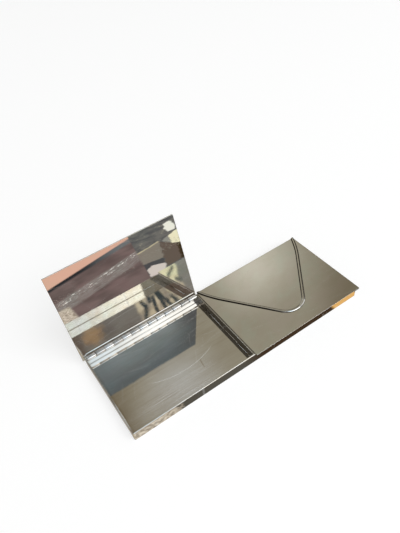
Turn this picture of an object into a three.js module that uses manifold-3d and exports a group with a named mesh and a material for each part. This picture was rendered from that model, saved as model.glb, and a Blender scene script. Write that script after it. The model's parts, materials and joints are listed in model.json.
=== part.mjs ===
// A silver-plated box with two shallow compartments side by side. Each compartment has its own
// hinged lid, and a raised half-round bead on the lid draws the flap of an envelope.
// Millimetres, +Z up, +X along the front wall, origin at the middle of the underside.
// The left lid stands open against the back wall and the right lid is closed.

import * as THREE from 'three';
import { mergeVertices } from 'three/addons/utils/BufferGeometryUtils.js';
import Module from 'manifold-3d';

// Case
const CASE_LENGTH = 200;
const CASE_DEPTH = 75;
const CASE_HEIGHT = 8.2;
const WALL_SHEET = 1.1;
const FLOOR_SHEET = 1;
const DIVIDER_SHEET = 1.1;
const CORNER_RADIUS = 0.95;
const SOLDER_SEAM = 0.02;

// Lids
const LID_SHEET = 0.9;
const LID_FRONT_LIP = 1.7;
const LID_END_LIP = 1.6;
const LID_SPACING = 0.7;
const LID_CORNER_RADIUS = 0.6;
const LID_SEAT_GAP = 0.1;
const LID_OPEN_ANGLE = THREE.MathUtils.degToRad(102.4);
const STOP_GAP = 0.07;

// Bead that draws the envelope's flap on a lid
const BEAD_WIDTH = 2.8;
const BEAD_HEIGHT = 0.9;
const BEAD_EDGE_MARGIN = 0.1;
const FLAP_CORNER_INSET = 1;
const FLAP_TIP_MARGIN = 14.5;
const FLAP_TIP_RADIUS = 14;
const FLAP_SIDE_BOW = 2.6;
const FLAP_BOW_RADIUS = 100;

// Hinges
const KNUCKLES_PER_HINGE = 13;
const KNUCKLE_GAP = 0.2;
const KNUCKLE_WALL = 0.7;
const BARREL_END_GAP = 0.3;
const PIN_RADIUS = 0.7;
const PIN_CLEARANCE = 0.1;
const COVE_CLEARANCE = 0.1;
const LID_BEARER_WIDTH = 2.7;
const LID_BEARER_SHEET = 1.2;
const LID_BEARER_EDGE = 0.4;
const LID_BEARER_END_GAP = 1.2;
const CASE_BEARER_SHEET = 1.2;

// Fineness of the round forms
const BARREL_SIDES = 24;
const COVE_SIDES = 48;
const CORNER_SEGMENTS = 3;
const EAR_SEGMENTS = 10;
const BEAD_SECTION_SEGMENTS = 4;
const BEAD_STEPS = 80;

// Sizes and places that follow from those above
const HALF_LENGTH = CASE_LENGTH / 2;
const HALF_DEPTH = CASE_DEPTH / 2;
const BORE_RADIUS = PIN_RADIUS + PIN_CLEARANCE;
const KNUCKLE_RADIUS = BORE_RADIUS + KNUCKLE_WALL;
const COVE_RADIUS = KNUCKLE_RADIUS + COVE_CLEARANCE;
const AXIS_Y = HALF_DEPTH - KNUCKLE_RADIUS;
const AXIS_Z = CASE_HEIGHT - COVE_RADIUS;
const BACK_WALL_HEIGHT = AXIS_Z - COVE_RADIUS;
const INNER_HALF_DEPTH = HALF_DEPTH - WALL_SHEET - SOLDER_SEAM;
const INNER_HALF_LENGTH = HALF_LENGTH - WALL_SHEET - SOLDER_SEAM;
const BAY_START = DIVIDER_SHEET / 2;
const BAY_END = HALF_LENGTH - WALL_SHEET;

// Places on a lid are measured from the hinge axis, with the lid closed.
const LID_UNDERSIDE = COVE_RADIUS + LID_SEAT_GAP;
const LID_TOP = LID_UNDERSIDE + LID_SHEET;
const LID_START = LID_SPACING / 2;
const LID_END = HALF_LENGTH + LID_END_LIP;
const LID_FRONT = -AXIS_Y - HALF_DEPTH - LID_FRONT_LIP;

// The open lid's back edge comes to rest on the outer edge of the back wall, so the opening angle
// sets how far the lid reaches behind the axis.
const STOP_DROP = COVE_RADIUS - STOP_GAP;
const LID_BACK = KNUCKLE_RADIUS * Math.cos(LID_OPEN_ANGLE) + STOP_DROP * Math.sin(LID_OPEN_ANGLE);

// Finishes
const PLATED_WALL = { color: 0x9c9282, roughness: 0.24, metalness: 1 };
const PLATED_LID = { color: 0xa8a292, roughness: 0.22, metalness: 1 };
const POLISHED_BEAD = { color: 0xc2bca8, roughness: 0.16, metalness: 1 };
const BRUSHED_FLOOR = { color: 0x8c8070, roughness: 0.34, metalness: 1 };
const BRIGHT_HINGE = { color: 0xdcd8d0, roughness: 0.2, metalness: 1 };
const PIN_WIRE = { color: 0xb8a27a, roughness: 0.35, metalness: 1 };

const wasm = await Module();
wasm.setup();

// Welds the corners that neighbouring faces share.
function weld(geometry) {
  geometry.deleteAttribute('normal');
  geometry.deleteAttribute('uv');
  return mergeVertices(geometry);
}

function toSolid(geometry) {
  const welded = weld(geometry);
  const mesh = new wasm.Mesh({
    numProp: 3,
    vertProperties: new Float32Array(welded.attributes.position.array),
    triVerts: new Uint32Array(welded.index.array),
  });
  return new wasm.Manifold(mesh);
}

function toGeometry(solid) {
  const { vertProperties, triVerts } = solid.getMesh();
  const geometry = new THREE.BufferGeometry();
  geometry.setAttribute('position', new THREE.BufferAttribute(vertProperties, 3));
  geometry.setIndex(new THREE.BufferAttribute(triVerts, 1));
  return geometry;
}

function piece(name, geometry, finish) {
  const smooth = weld(geometry);
  smooth.computeVertexNormals();
  const mesh = new THREE.Mesh(smooth, new THREE.MeshStandardMaterial(finish));
  mesh.name = name;
  return mesh;
}

function rectangle(left, right, bottom, top) {
  const outline = new THREE.Shape();
  outline.moveTo(left, bottom);
  outline.lineTo(right, bottom);
  outline.lineTo(right, top);
  outline.lineTo(left, top);
  outline.closePath();
  return outline;
}

function roundedRectangle(left, right, bottom, top, radius) {
  const quarter = Math.PI / 2;
  const outline = new THREE.Shape();
  outline.absarc(right - radius, bottom + radius, radius, -quarter, 0);
  outline.absarc(right - radius, top - radius, radius, 0, quarter);
  outline.absarc(left + radius, top - radius, radius, quarter, 2 * quarter);
  outline.absarc(left + radius, bottom + radius, radius, 2 * quarter, 3 * quarter);
  outline.closePath();
  return outline;
}

// Raises an outline drawn in X and Y between two heights.
function upright(outline, bottom, top, curveSegments = CORNER_SEGMENTS) {
  const geometry = new THREE.ExtrudeGeometry(outline, {
    depth: top - bottom,
    bevelEnabled: false,
    curveSegments,
  });
  return geometry.translate(0, 0, bottom);
}

// Draws out an outline given in Y and Z from one place on X to another.
function alongX(outline, start, end, curveSegments = CORNER_SEGMENTS) {
  const geometry = new THREE.ExtrudeGeometry(outline, {
    depth: end - start,
    bevelEnabled: false,
    curveSegments,
  });
  const turn = new THREE.Matrix4().makeBasis(
    new THREE.Vector3(0, 1, 0),
    new THREE.Vector3(0, 0, 1),
    new THREE.Vector3(1, 0, 0),
  );
  return geometry.applyMatrix4(turn).translate(start, 0, 0);
}

// A round rod on the hinge axis.
function rod(radius, start, end, sides) {
  const geometry = new THREE.CylinderGeometry(radius, radius, end - start, sides);
  return geometry.rotateZ(-Math.PI / 2).translate((start + end) / 2, 0, 0);
}

// A short tube on the hinge axis. The flats of its bore touch the bore's circle from outside.
function tube(start, end) {
  const bore = BORE_RADIUS / Math.cos(Math.PI / BARREL_SIDES);
  const length = end - start;
  const profile = [
    new THREE.Vector2(KNUCKLE_RADIUS, 0),
    new THREE.Vector2(KNUCKLE_RADIUS, length),
    new THREE.Vector2(bore, length),
    new THREE.Vector2(bore, 0),
    new THREE.Vector2(KNUCKLE_RADIUS, 0),
  ];
  const geometry = new THREE.LatheGeometry(profile, BARREL_SIDES);
  return geometry.rotateZ(-Math.PI / 2).translate(start, 0, 0);
}

// A strip beside the hinge with a cove cut along it for the barrel.
function covedStrip(section, start, end) {
  const strip = toSolid(alongX(section, start, end));
  const barrel = toSolid(rod(COVE_RADIUS, start - WALL_SHEET, end + WALL_SHEET, COVE_SIDES));
  return toGeometry(strip.subtract(barrel));
}

// A range on X for the right side, mirrored to the left where the side is -1.
function mirroredSpan(side, start, end) {
  return side > 0 ? [start, end] : [-end, -start];
}

// The centre line of the flap's bead, from one back corner of the lid to the other: a round tip,
// two straight sides and a long bow at each corner, all in one smooth line.
class FlapLine extends THREE.Curve {
  constructor(halfSpan, reach, overrun) {
    super();
    const depth = reach - FLAP_TIP_RADIUS;
    const swing = Math.hypot(depth, halfSpan);
    const lean = Math.acos((FLAP_SIDE_BOW - FLAP_TIP_RADIUS) / swing) - Math.atan2(halfSpan, depth);
    const bowAngle = Math.acos(1 - FLAP_SIDE_BOW / FLAP_BOW_RADIUS);
    const rise = (FLAP_TIP_RADIUS - FLAP_BOW_RADIUS) * Math.sin(lean);
    const bowEnd = FLAP_BOW_RADIUS * Math.sin(lean + bowAngle);
    this.depth = depth;
    this.lean = lean;
    this.tipLength = FLAP_TIP_RADIUS * lean;
    this.sideLength = (halfSpan - rise - bowEnd) / Math.cos(lean);
    this.halfLength = this.tipLength + this.sideLength + FLAP_BOW_RADIUS * bowAngle + overrun;
  }

  // Half the line, as a distance from the tip, in X from the middle and Y from the lid's back edge.
  half(distance) {
    const angle = Math.min(distance / FLAP_TIP_RADIUS, this.lean);
    const straight = THREE.MathUtils.clamp(distance - this.tipLength, 0, this.sideLength);
    const bow = Math.max(distance - this.tipLength - this.sideLength, 0) / FLAP_BOW_RADIUS;
    const bowX = FLAP_BOW_RADIUS * (Math.sin(angle + bow) - Math.sin(angle));
    const bowY = FLAP_BOW_RADIUS * (Math.cos(angle + bow) - Math.cos(angle));
    const x = FLAP_TIP_RADIUS * Math.sin(angle) + straight * Math.cos(angle) + bowX;
    const y = this.depth + FLAP_TIP_RADIUS * Math.cos(angle) - straight * Math.sin(angle) + bowY;
    return [x, -y];
  }

  getPoint(t, target = new THREE.Vector3()) {
    const along = 2 * t - 1;
    const [x, y] = this.half(Math.abs(along) * this.halfLength);
    return target.set(Math.sign(along) * x, y, 0);
  }
}

// The bead's section: flat below, half round above. X of the section points down on the lid.
function beadSection() {
  const radius = (BEAD_HEIGHT ** 2 + (BEAD_WIDTH / 2) ** 2) / (2 * BEAD_HEIGHT);
  const start = Math.atan2(-BEAD_WIDTH / 2, BEAD_HEIGHT - radius);
  const outline = new THREE.Shape();
  outline.absarc(radius - BEAD_HEIGHT, 0, radius, start, -start, true);
  outline.closePath();
  return outline;
}

// The bead swept along the flap's line and trimmed to the lid's edges.
function flapBead(start, end) {
  const halfSpan = (end - start) / 2 - FLAP_CORNER_INSET;
  const reach = LID_BACK - LID_FRONT - FLAP_TIP_MARGIN;
  const wire = new THREE.ExtrudeGeometry(beadSection(), {
    steps: BEAD_STEPS,
    curveSegments: BEAD_SECTION_SEGMENTS,
    extrudePath: new FlapLine(halfSpan, reach, BEAD_WIDTH),
  });
  wire.translate((start + end) / 2, LID_BACK, LID_TOP + SOLDER_SEAM);
  const margin = BEAD_EDGE_MARGIN;
  const plan = roundedRectangle(
    start + margin,
    end - margin,
    LID_FRONT + margin,
    LID_BACK - margin,
    LID_CORNER_RADIUS,
  );
  const trim = upright(plan, LID_UNDERSIDE, LID_TOP + 2 * BEAD_HEIGHT);
  return toGeometry(toSolid(wire).intersect(toSolid(trim)));
}

// The front wall's full height, or the back wall's lower one, with its outer corners rounded.
function longWall(height) {
  const radius = Math.min(CORNER_RADIUS, WALL_SHEET - SOLDER_SEAM);
  const inside = -HALF_DEPTH + WALL_SHEET;
  const outline = new THREE.Shape();
  outline.moveTo(-HALF_LENGTH, inside);
  outline.lineTo(-HALF_LENGTH, -HALF_DEPTH + radius);
  outline.absarc(-HALF_LENGTH + radius, -HALF_DEPTH + radius, radius, Math.PI, 1.5 * Math.PI);
  outline.absarc(HALF_LENGTH - radius, -HALF_DEPTH + radius, radius, -Math.PI / 2, 0);
  outline.lineTo(HALF_LENGTH, inside);
  outline.closePath();
  return upright(outline, 0, height);
}

// A wall that runs from front to back. Its back end is rounded about the hinge axis, level with the
// barrel, so that the lid swings past it.
function crossWall(start, end, foot) {
  const earStart = -Math.acos((INNER_HALF_DEPTH - AXIS_Y) / COVE_RADIUS);
  const outline = new THREE.Shape();
  outline.moveTo(-INNER_HALF_DEPTH, foot);
  outline.lineTo(INNER_HALF_DEPTH, foot);
  outline.absarc(AXIS_Y, AXIS_Z, COVE_RADIUS, earStart, Math.PI / 2);
  outline.lineTo(-INNER_HALF_DEPTH, CASE_HEIGHT);
  outline.closePath();
  return alongX(outline, start, end, EAR_SEGMENTS);
}

// The knuckles of one hinge, in order from the divider: the case carries the odd ones.
function knuckles(side, name) {
  const start = BAY_START + BARREL_END_GAP;
  const end = BAY_END - BARREL_END_GAP;
  const pitch = (end - start + KNUCKLE_GAP) / KNUCKLES_PER_HINGE;
  const onCase = [];
  const onLid = [];
  for (let i = 0; i < KNUCKLES_PER_HINGE; i += 1) {
    const inner = start + i * pitch;
    const span = mirroredSpan(side, inner, inner + pitch - KNUCKLE_GAP);
    const carrier = i % 2 === 0 ? onCase : onLid;
    const label = carrier === onCase ? 'case' : 'lid';
    const title = `${name}_${label}_knuckle_${carrier.length + 1}`;
    carrier.push(piece(title, tube(...span), BRIGHT_HINGE));
  }
  return { onCase, onLid };
}

// The fixed half of a hinge: the pin, the case's knuckles and the strip on the floor that carries them.
function fixedHinge(side, name, tubes) {
  const group = new THREE.Group();
  group.position.set(0, AXIS_Y, AXIS_Z);
  const wallFace = INNER_HALF_DEPTH - AXIS_Y;
  const section = rectangle(
    wallFace - CASE_BEARER_SHEET,
    wallFace,
    FLOOR_SHEET + SOLDER_SEAM - AXIS_Z,
    -KNUCKLE_RADIUS / 2,
  );
  const bearerSpan = mirroredSpan(side, BAY_START + SOLDER_SEAM, BAY_END - SOLDER_SEAM);
  const pinSpan = mirroredSpan(side, BAY_START + BARREL_END_GAP, BAY_END - BARREL_END_GAP);
  group.add(piece(`${name}_case_bearer`, covedStrip(section, ...bearerSpan), BRIGHT_HINGE));
  group.add(piece(`${name}_hinge_pin`, rod(PIN_RADIUS, ...pinSpan, BARREL_SIDES), PIN_WIRE));
  group.add(...tubes);
  return group;
}

// A lid with its bead, its strip along the hinge and its knuckles, turned open about the hinge axis.
function lid(side, name, tubes, openAngle) {
  const group = new THREE.Group();
  group.position.set(0, AXIS_Y, AXIS_Z);
  group.rotation.x = -openAngle;
  const [start, end] = mirroredSpan(side, LID_START, LID_END);
  const plan = roundedRectangle(start, end, LID_FRONT, LID_BACK, LID_CORNER_RADIUS);
  const bearerBack = -Math.sqrt(COVE_RADIUS ** 2 - (LID_UNDERSIDE - LID_BEARER_EDGE) ** 2);
  const section = rectangle(
    bearerBack - LID_BEARER_WIDTH,
    bearerBack,
    LID_UNDERSIDE - LID_BEARER_SHEET,
    LID_UNDERSIDE - SOLDER_SEAM,
  );
  const bearerSpan = mirroredSpan(side, BAY_START + LID_BEARER_END_GAP, BAY_END - LID_BEARER_END_GAP);
  group.add(piece(`${name}_lid_plate`, upright(plan, LID_UNDERSIDE, LID_TOP), PLATED_LID));
  group.add(piece(`${name}_flap_bead`, flapBead(start, end), POLISHED_BEAD));
  group.add(piece(`${name}_lid_bearer`, covedStrip(section, ...bearerSpan), BRIGHT_HINGE));
  group.add(...tubes);
  return group;
}

// The open tray: floor, four walls and the divider between the two compartments.
function tray() {
  const group = new THREE.Group();
  const plan = rectangle(-INNER_HALF_LENGTH, INNER_HALF_LENGTH, -INNER_HALF_DEPTH, INNER_HALF_DEPTH);
  const backWall = longWall(BACK_WALL_HEIGHT).rotateZ(Math.PI);
  const dividerFoot = FLOOR_SHEET + SOLDER_SEAM;
  group.add(piece('bottom_plate', upright(plan, 0, FLOOR_SHEET), BRUSHED_FLOOR));
  group.add(piece('front_wall', longWall(CASE_HEIGHT), PLATED_WALL));
  group.add(piece('back_wall', backWall, PLATED_WALL));
  group.add(piece('left_end_wall', crossWall(-HALF_LENGTH, -BAY_END, 0), PLATED_WALL));
  group.add(piece('right_end_wall', crossWall(BAY_END, HALF_LENGTH, 0), PLATED_WALL));
  group.add(piece('divider_wall', crossWall(-BAY_START, BAY_START, dividerFoot), PLATED_WALL));
  return group;
}

const box = new THREE.Group();
const leftKnuckles = knuckles(-1, 'left');
const rightKnuckles = knuckles(1, 'right');
box.add(tray());
box.add(fixedHinge(-1, 'left', leftKnuckles.onCase));
box.add(fixedHinge(1, 'right', rightKnuckles.onCase));
box.add(lid(-1, 'left', leftKnuckles.onLid, LID_OPEN_ANGLE));
box.add(lid(1, 'right', rightKnuckles.onLid, 0));

export default box;
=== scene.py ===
"""A silver-plated envelope box: two shallow trays side by side, each under its own hinged lid.

Pieces are modelled in millimetres, where they lie with both lids closed. The pieces of a lid that stands
open are then turned about its hinge, and every mesh is scaled to metres at the end.
"""

import json
import logging
import math
from collections.abc import Callable, Iterable, Mapping, Sequence
from dataclasses import dataclass, field, replace
from enum import Enum
from typing import ClassVar

import bmesh
import bpy
from mathutils import Matrix, Vector


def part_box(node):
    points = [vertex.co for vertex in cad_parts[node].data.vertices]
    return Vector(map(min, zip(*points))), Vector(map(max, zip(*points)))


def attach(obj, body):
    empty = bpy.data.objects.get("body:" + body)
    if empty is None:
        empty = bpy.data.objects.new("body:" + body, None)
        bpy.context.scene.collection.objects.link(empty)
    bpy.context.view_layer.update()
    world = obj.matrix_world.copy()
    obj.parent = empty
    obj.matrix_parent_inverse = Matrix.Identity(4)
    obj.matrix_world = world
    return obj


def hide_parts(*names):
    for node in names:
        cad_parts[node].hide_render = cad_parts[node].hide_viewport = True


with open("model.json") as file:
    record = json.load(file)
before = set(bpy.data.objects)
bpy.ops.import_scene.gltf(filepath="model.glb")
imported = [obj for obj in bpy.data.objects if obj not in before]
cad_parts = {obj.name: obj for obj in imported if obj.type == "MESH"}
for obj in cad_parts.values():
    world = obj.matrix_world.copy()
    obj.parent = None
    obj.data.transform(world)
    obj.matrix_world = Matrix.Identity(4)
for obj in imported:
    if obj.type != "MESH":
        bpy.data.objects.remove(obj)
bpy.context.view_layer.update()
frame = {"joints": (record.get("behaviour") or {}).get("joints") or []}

LOG = logging.getLogger("envelope_box")

METRE = 1000.0
# Places this near each other are level, in millimetres
CLOSE = 0.01
# An edge that is longer than this along an axis runs that way
LONG = 1.0
# Points this near each other are merged
MERGE = 0.001

Colour = tuple[float, float, float, float]
Span = tuple[float, float, float, float]
Triple = tuple[float, float, float]
Pair = tuple[float, float]


class Side(Enum):
    """The two halves of the box."""

    LEFT = "left"
    RIGHT = "right"


class Carrier(Enum):
    """What a hinge knuckle is soldered to."""

    CASE = "case"
    LID = "lid"


class Grain(Enum):
    """The way polishing lines run over a sheet, as a turn about its normal."""

    ALONG = 0.0
    ACROSS = math.pi / 2


class Slot(Enum):
    """The record's material slots."""

    WALL = "plated_wall"
    LID = "plated_lid"
    BEAD = "polished_bead"
    FLOOR = "brushed_floor"
    HINGE = "bright_hinge"
    PIN = "pin_wire"


@dataclass(frozen=True)
class Mottle:
    """An irregular pattern, by the size of what repeats in it, in millimetres, and the turn of its axes."""

    size: Triple
    turn: float = 0.0
    shift: Triple = (0, 0, 0)
    detail: float = 2.0
    roughness: float = 0.5


class Signal:
    """One output socket of a node, with arithmetic that adds Math nodes to its tree."""

    def __init__(self, graph: "Graph", socket: bpy.types.NodeSocket) -> None:
        """Keeps the tree and the socket."""
        self.graph = graph
        self.socket = socket

    def also(self, output: int | str) -> "Signal":
        """Another output of the same node."""
        return Signal(self.graph, self.socket.node.outputs[output])

    def __add__(self, other: "Signal | float") -> "Signal":
        """Sum."""
        return self.graph.maths("ADD", self, other)

    def __radd__(self, other: float) -> "Signal":
        """Sum with a number on the left."""
        return self.graph.maths("ADD", other, self)

    def __sub__(self, other: "Signal | float") -> "Signal":
        """Difference."""
        return self.graph.maths("SUBTRACT", self, other)

    def __rsub__(self, other: float) -> "Signal":
        """Difference from a number."""
        return self.graph.maths("SUBTRACT", other, self)

    def __mul__(self, other: "Signal | float") -> "Signal":
        """Product."""
        return self.graph.maths("MULTIPLY", self, other)

    def __rmul__(self, other: float) -> "Signal":
        """Product with a number on the left."""
        return self.graph.maths("MULTIPLY", other, self)

    def __truediv__(self, other: "Signal | float") -> "Signal":
        """Quotient."""
        return self.graph.maths("DIVIDE", self, other)

    def __rtruediv__(self, other: float) -> "Signal":
        """Quotient of a number."""
        return self.graph.maths("DIVIDE", other, self)

    def __abs__(self) -> "Signal":
        """Size without sign."""
        return self.graph.maths("ABSOLUTE", self)

    def least(self, other: "Signal | float") -> "Signal":
        """The lesser of two values."""
        return self.graph.maths("MINIMUM", self, other)

    def most(self, other: "Signal | float") -> "Signal":
        """The greater of two values."""
        return self.graph.maths("MAXIMUM", self, other)

    def lifted(self, floor: float) -> "Signal":
        """The same mask, raised so that it never falls below a share."""
        return self * (1 - floor) + floor


class Graph:
    """A node tree that is being written."""

    CLOUD_REACH: ClassVar[Pair] = (0.35, 0.65)
    SMOOTH: ClassVar[Mapping[str, object]] = {"interpolation_type": "SMOOTHSTEP", "clamp": True}

    def __init__(self, tree: bpy.types.NodeTree) -> None:
        """Starts from an empty tree."""
        self.tree = tree
        tree.nodes.clear()

    @classmethod
    def material(cls, name: str) -> tuple[bpy.types.Material, "Graph"]:
        """A new material and its tree.

        Args:
            name: the material's name.

        Returns:
            The material and the tree to write.
        """
        made = bpy.data.materials.new(name)
        made.use_nodes = True
        return made, cls(made.node_tree)

    def node(
        self,
        kind: str,
        settings: Mapping[str, object] | None = None,
        sockets: Mapping[int | str, object] | None = None,
        output: int | str = 0,
    ) -> Signal | None:
        """Adds one node.

        Args:
            kind: the node's type.
            settings: the node's own settings, which are set first.
            sockets: the value or the link of each input socket.
            output: the output that is handed back.

        Returns:
            The chosen output, or None where the node has no output.
        """
        made = self.tree.nodes.new(kind)
        for key, value in (settings or {}).items():
            setattr(made, key, value)
        for key, value in (sockets or {}).items():
            if isinstance(value, Signal):
                self.tree.links.new(value.socket, made.inputs[key])
            else:
                made.inputs[key].default_value = value
        return Signal(self, made.outputs[output]) if len(made.outputs) else None

    def maths(self, operation: str, *values: "Signal | float") -> Signal:
        """A Math node on one or two values."""
        return self.node("ShaderNodeMath", {"operation": operation}, dict(enumerate(values)))

    def vectors(self, operation: str, *values: object, output: int | str = 0) -> Signal:
        """A Vector Math node on two or three vectors."""
        return self.node("ShaderNodeVectorMath", {"operation": operation}, dict(enumerate(values)), output)

    def distance(self, place: Signal, centre: Triple) -> Signal:
        """How far a place lies from a centre."""
        return self.vectors("DISTANCE", place, centre, output="Value")

    def attribute(self, name: str, output: str) -> Signal:
        """An attribute that the mesh carries."""
        return self.node("ShaderNodeAttribute", {"attribute_name": name}, output=output)

    def mix(self, share: "Signal | float", first: object, second: object) -> Signal:
        """Two colours or links of colours, mixed by the share of the second."""
        settings = {"data_type": "RGBA", "clamp_factor": True}
        return self.node("ShaderNodeMix", settings, {0: share, 6: first, 7: second}, 2)

    def ease(self, value: Signal, start: float, end: float) -> Signal:
        """Goes smoothly from 0 at the start to 1 at the end."""
        sockets = {"Value": value, "From Min": start, "From Max": end}
        return self.node("ShaderNodeMapRange", self.SMOOTH, sockets)

    def band(self, value: Signal, start: float, full: float, still: float, end: float) -> Signal:
        """Rises smoothly from 0 at the start to 1, holds, and falls to 0 at the end."""
        return self.ease(value, start, full) * self.ease(value, end, still)

    def fade(self, value: Signal, reach: Pair, first: object, second: object) -> Signal:
        """Goes from one colour to another over a reach of a value."""
        return self.mix(self.ease(value, *reach), first, second)

    def sized(self, place: Signal, size: Triple, turn: float = 0.0, shift: Triple = (0, 0, 0)) -> Signal:
        """Measures places in units of a feature's size, after a turn about Z.

        Args:
            place: places in millimetres.
            size: the feature's size along its own axes, in millimetres.
            turn: the turn of those axes.
            shift: the place that becomes the origin.

        Returns:
            The places in the feature's own measure.
        """
        sockets = {"Vector": place, "Location": shift, "Rotation": (0, 0, turn), "Scale": size}
        return self.node("ShaderNodeMapping", {"vector_type": "TEXTURE"}, sockets)

    def mottle(self, place: Signal, kind: Mottle) -> Signal:
        """An irregular pattern.

        Args:
            place: places in millimetres.
            kind: the pattern's measures.

        Returns:
            Smooth values about a half.
        """
        local = self.sized(place, kind.size, kind.turn, kind.shift)
        sockets = {"Vector": local, "Scale": 1.0, "Detail": kind.detail, "Roughness": kind.roughness}
        return self.node("ShaderNodeTexNoise", {"noise_dimensions": "3D"}, sockets)

    def clouds(self, place: Signal, kind: Mottle, first: Colour, second: Colour) -> Signal:
        """Two colours in soft clouds."""
        return self.fade(self.mottle(place, kind), self.CLOUD_REACH, first, second)

    def split(self, place: Signal) -> tuple[Signal, Signal, Signal]:
        """The three coordinates of a vector."""
        first = self.node("ShaderNodeSeparateXYZ", sockets={0: place})
        return first, first.also(1), first.also(2)


@dataclass(frozen=True)
class ScratchRun:
    """Stray scratches in one direction: its turn, their length and spacing, and the share that shows."""

    turn: float
    length: float
    spacing: float
    share: float


@dataclass(frozen=True)
class SilverPlate:
    """Silver plate on base metal, polished by hand, toned by air and worn by handling."""

    # A pale, hardly metallic colour for scratches and scuffs: painted sheen over real marks.
    PALE_SHEEN: ClassVar[Colour] = (0.90, 0.91, 0.92, 1.0)
    SCRATCHES: ClassVar[Sequence[ScratchRun]] = (
        ScratchRun(turn=-0.28, length=34, spacing=9, share=0.35),
        ScratchRun(turn=0.16, length=46, spacing=11, share=0.30),
        ScratchRun(turn=1.1, length=20, spacing=12, share=0.20),
    )
    SCRATCH_ENDS: ClassVar[Pair] = (0.42, 0.25)
    SCRATCH_BLUR: ClassVar[float] = 0.02
    CLOUDS: ClassVar[Mottle] = Mottle((34.0, 26.0, 26.0), detail=3.0, roughness=0.55)
    FLECKS: ClassVar[Mottle] = Mottle((5.0, 4.0, 4.0), turn=0.4, detail=4.0, roughness=0.6)
    CLOUD_SHARE: ClassVar[float] = 0.72
    TONE_REACH: ClassVar[Pair] = (0.38, 0.66)
    SPECKLES: ClassVar[Mottle] = Mottle((9, 9, 9))
    SPECKLE_REACH: ClassVar[Pair] = (0.3, 0.7)

    name: str
    silver: Colour
    tarnish_and_shade: Colour
    # Bared brass at worn edges; the hinge tubes use this colour for painted shade instead.
    bared_and_gap_shade: Colour = (0.60, 0.47, 0.27, 1.0)
    gloss: float = 0.10
    haze: float = 0.10
    grain: Grain = Grain.ALONG
    line_length: float = 26.0
    line_width: float = 0.22
    line_depth: float = 0.0016
    line_haze: float = 0.05
    scratch_width: float = 0.22
    scratch_haze: float = 0.05
    scratch_light: float = 0.22
    buckle: float = 0.012
    buckle_size: float = 50.0
    tone_share: float = 0.30
    bared_and_gap_shade_share: float = 0.30
    cloud_size: Triple = CLOUDS.size
    fleck_size: Triple = FLECKS.size

    def lines(self, graph: Graph, place: Signal) -> Signal:
        """Fine polishing lines that run with the grain."""
        size = (self.line_length, self.line_width, self.line_width)
        return graph.mottle(place, Mottle(size, self.grain.value, roughness=0.6))

    def scratches(self, graph: Graph, place: Signal) -> Signal:
        """Stray scratches in a few directions, broken off where nothing rubbed.

        Args:
            graph: the tree.
            place: places in millimetres.

        Returns:
            1 in a scratch and 0 beside it.
        """
        total = None
        for run in self.SCRATCHES:
            local = graph.sized(place, (run.length, run.spacing, run.spacing), run.turn)
            sockets = {"Vector": local, "Scale": 1.0}
            centre = graph.node("ShaderNodeTexVoronoi", sockets=sockets, output="Position")
            chance, _, _ = graph.split(centre.also("Color"))
            along, across, _ = graph.split(graph.vectors("SUBTRACT", local, centre))
            line = graph.ease(abs(across), self.scratch_width / run.spacing, 0.0)
            shown = graph.ease(chance, 1 - run.share, 1 - run.share + self.SCRATCH_BLUR)
            mark = line * graph.ease(abs(along), *self.SCRATCH_ENDS) * shown
            total = mark if total is None else total.most(mark)
        return total

    def patches(self, graph: Graph, place: Signal) -> Signal:
        """Clouds of toning, some wide and some small.

        Args:
            graph: the tree.
            place: places in millimetres.

        Returns:
            1 where the plate is toned and 0 where it is clear.
        """
        wide = graph.mottle(place, replace(self.CLOUDS, size=self.cloud_size))
        small = graph.mottle(place, replace(self.FLECKS, size=self.fleck_size))
        return graph.ease(wide * self.CLOUD_SHARE + small * (1 - self.CLOUD_SHARE), *self.TONE_REACH)

    def toning_and_shade(self, graph: Graph, place: Signal) -> Signal | float:
        """Where toning gathers because no cloth reaches there, and where a raised wire has painted shade. A
        plain sheet has neither.
        """
        return 0.0

    def rub(self, graph: Graph, place: Signal) -> Signal | float:
        """Where use has left a dull surface. A plain sheet has no such place."""
        return 0.0

    def scuffs_and_sheen(self, graph: Graph, place: Signal) -> Signal | float:
        """Where use has left marks, painted pale as sheen. A plain sheet has no such place."""
        return 0.0

    def tint(self, graph: Graph, place: Signal, colour: Signal) -> Signal:
        """The sheet's colour with its own faint hues. A plain sheet has none."""
        return colour

    def material(self) -> bpy.types.Material:
        """Writes the finish as a material, by the places on the closed box that every piece carries with it.

        Returns:
            The material.
        """
        made, graph = Graph.material(self.name)
        place = graph.attribute("place", "Vector")
        lines = self.lines(graph, place)
        scratches = self.scratches(graph, place)
        patches = self.patches(graph, place)
        # Toning, plus the painted shade that raised wires add.
        tone_and_shade = patches * self.tone_share + self.toning_and_shade(graph, place)
        colour = self.tint(graph, place, graph.mix(tone_and_shade, self.silver, self.tarnish_and_shade))
        speckle = graph.ease(graph.mottle(place, self.SPECKLES), *self.SPECKLE_REACH)
        # Rounded edges show bared brass; on the hinge tubes their near-black colour is painted shade in the
        # gaps between knuckles.
        colour = graph.mix(graph.attribute("rounded_edge", "Fac") * speckle * self.bared_and_gap_shade_share, colour, self.bared_and_gap_shade)
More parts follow.
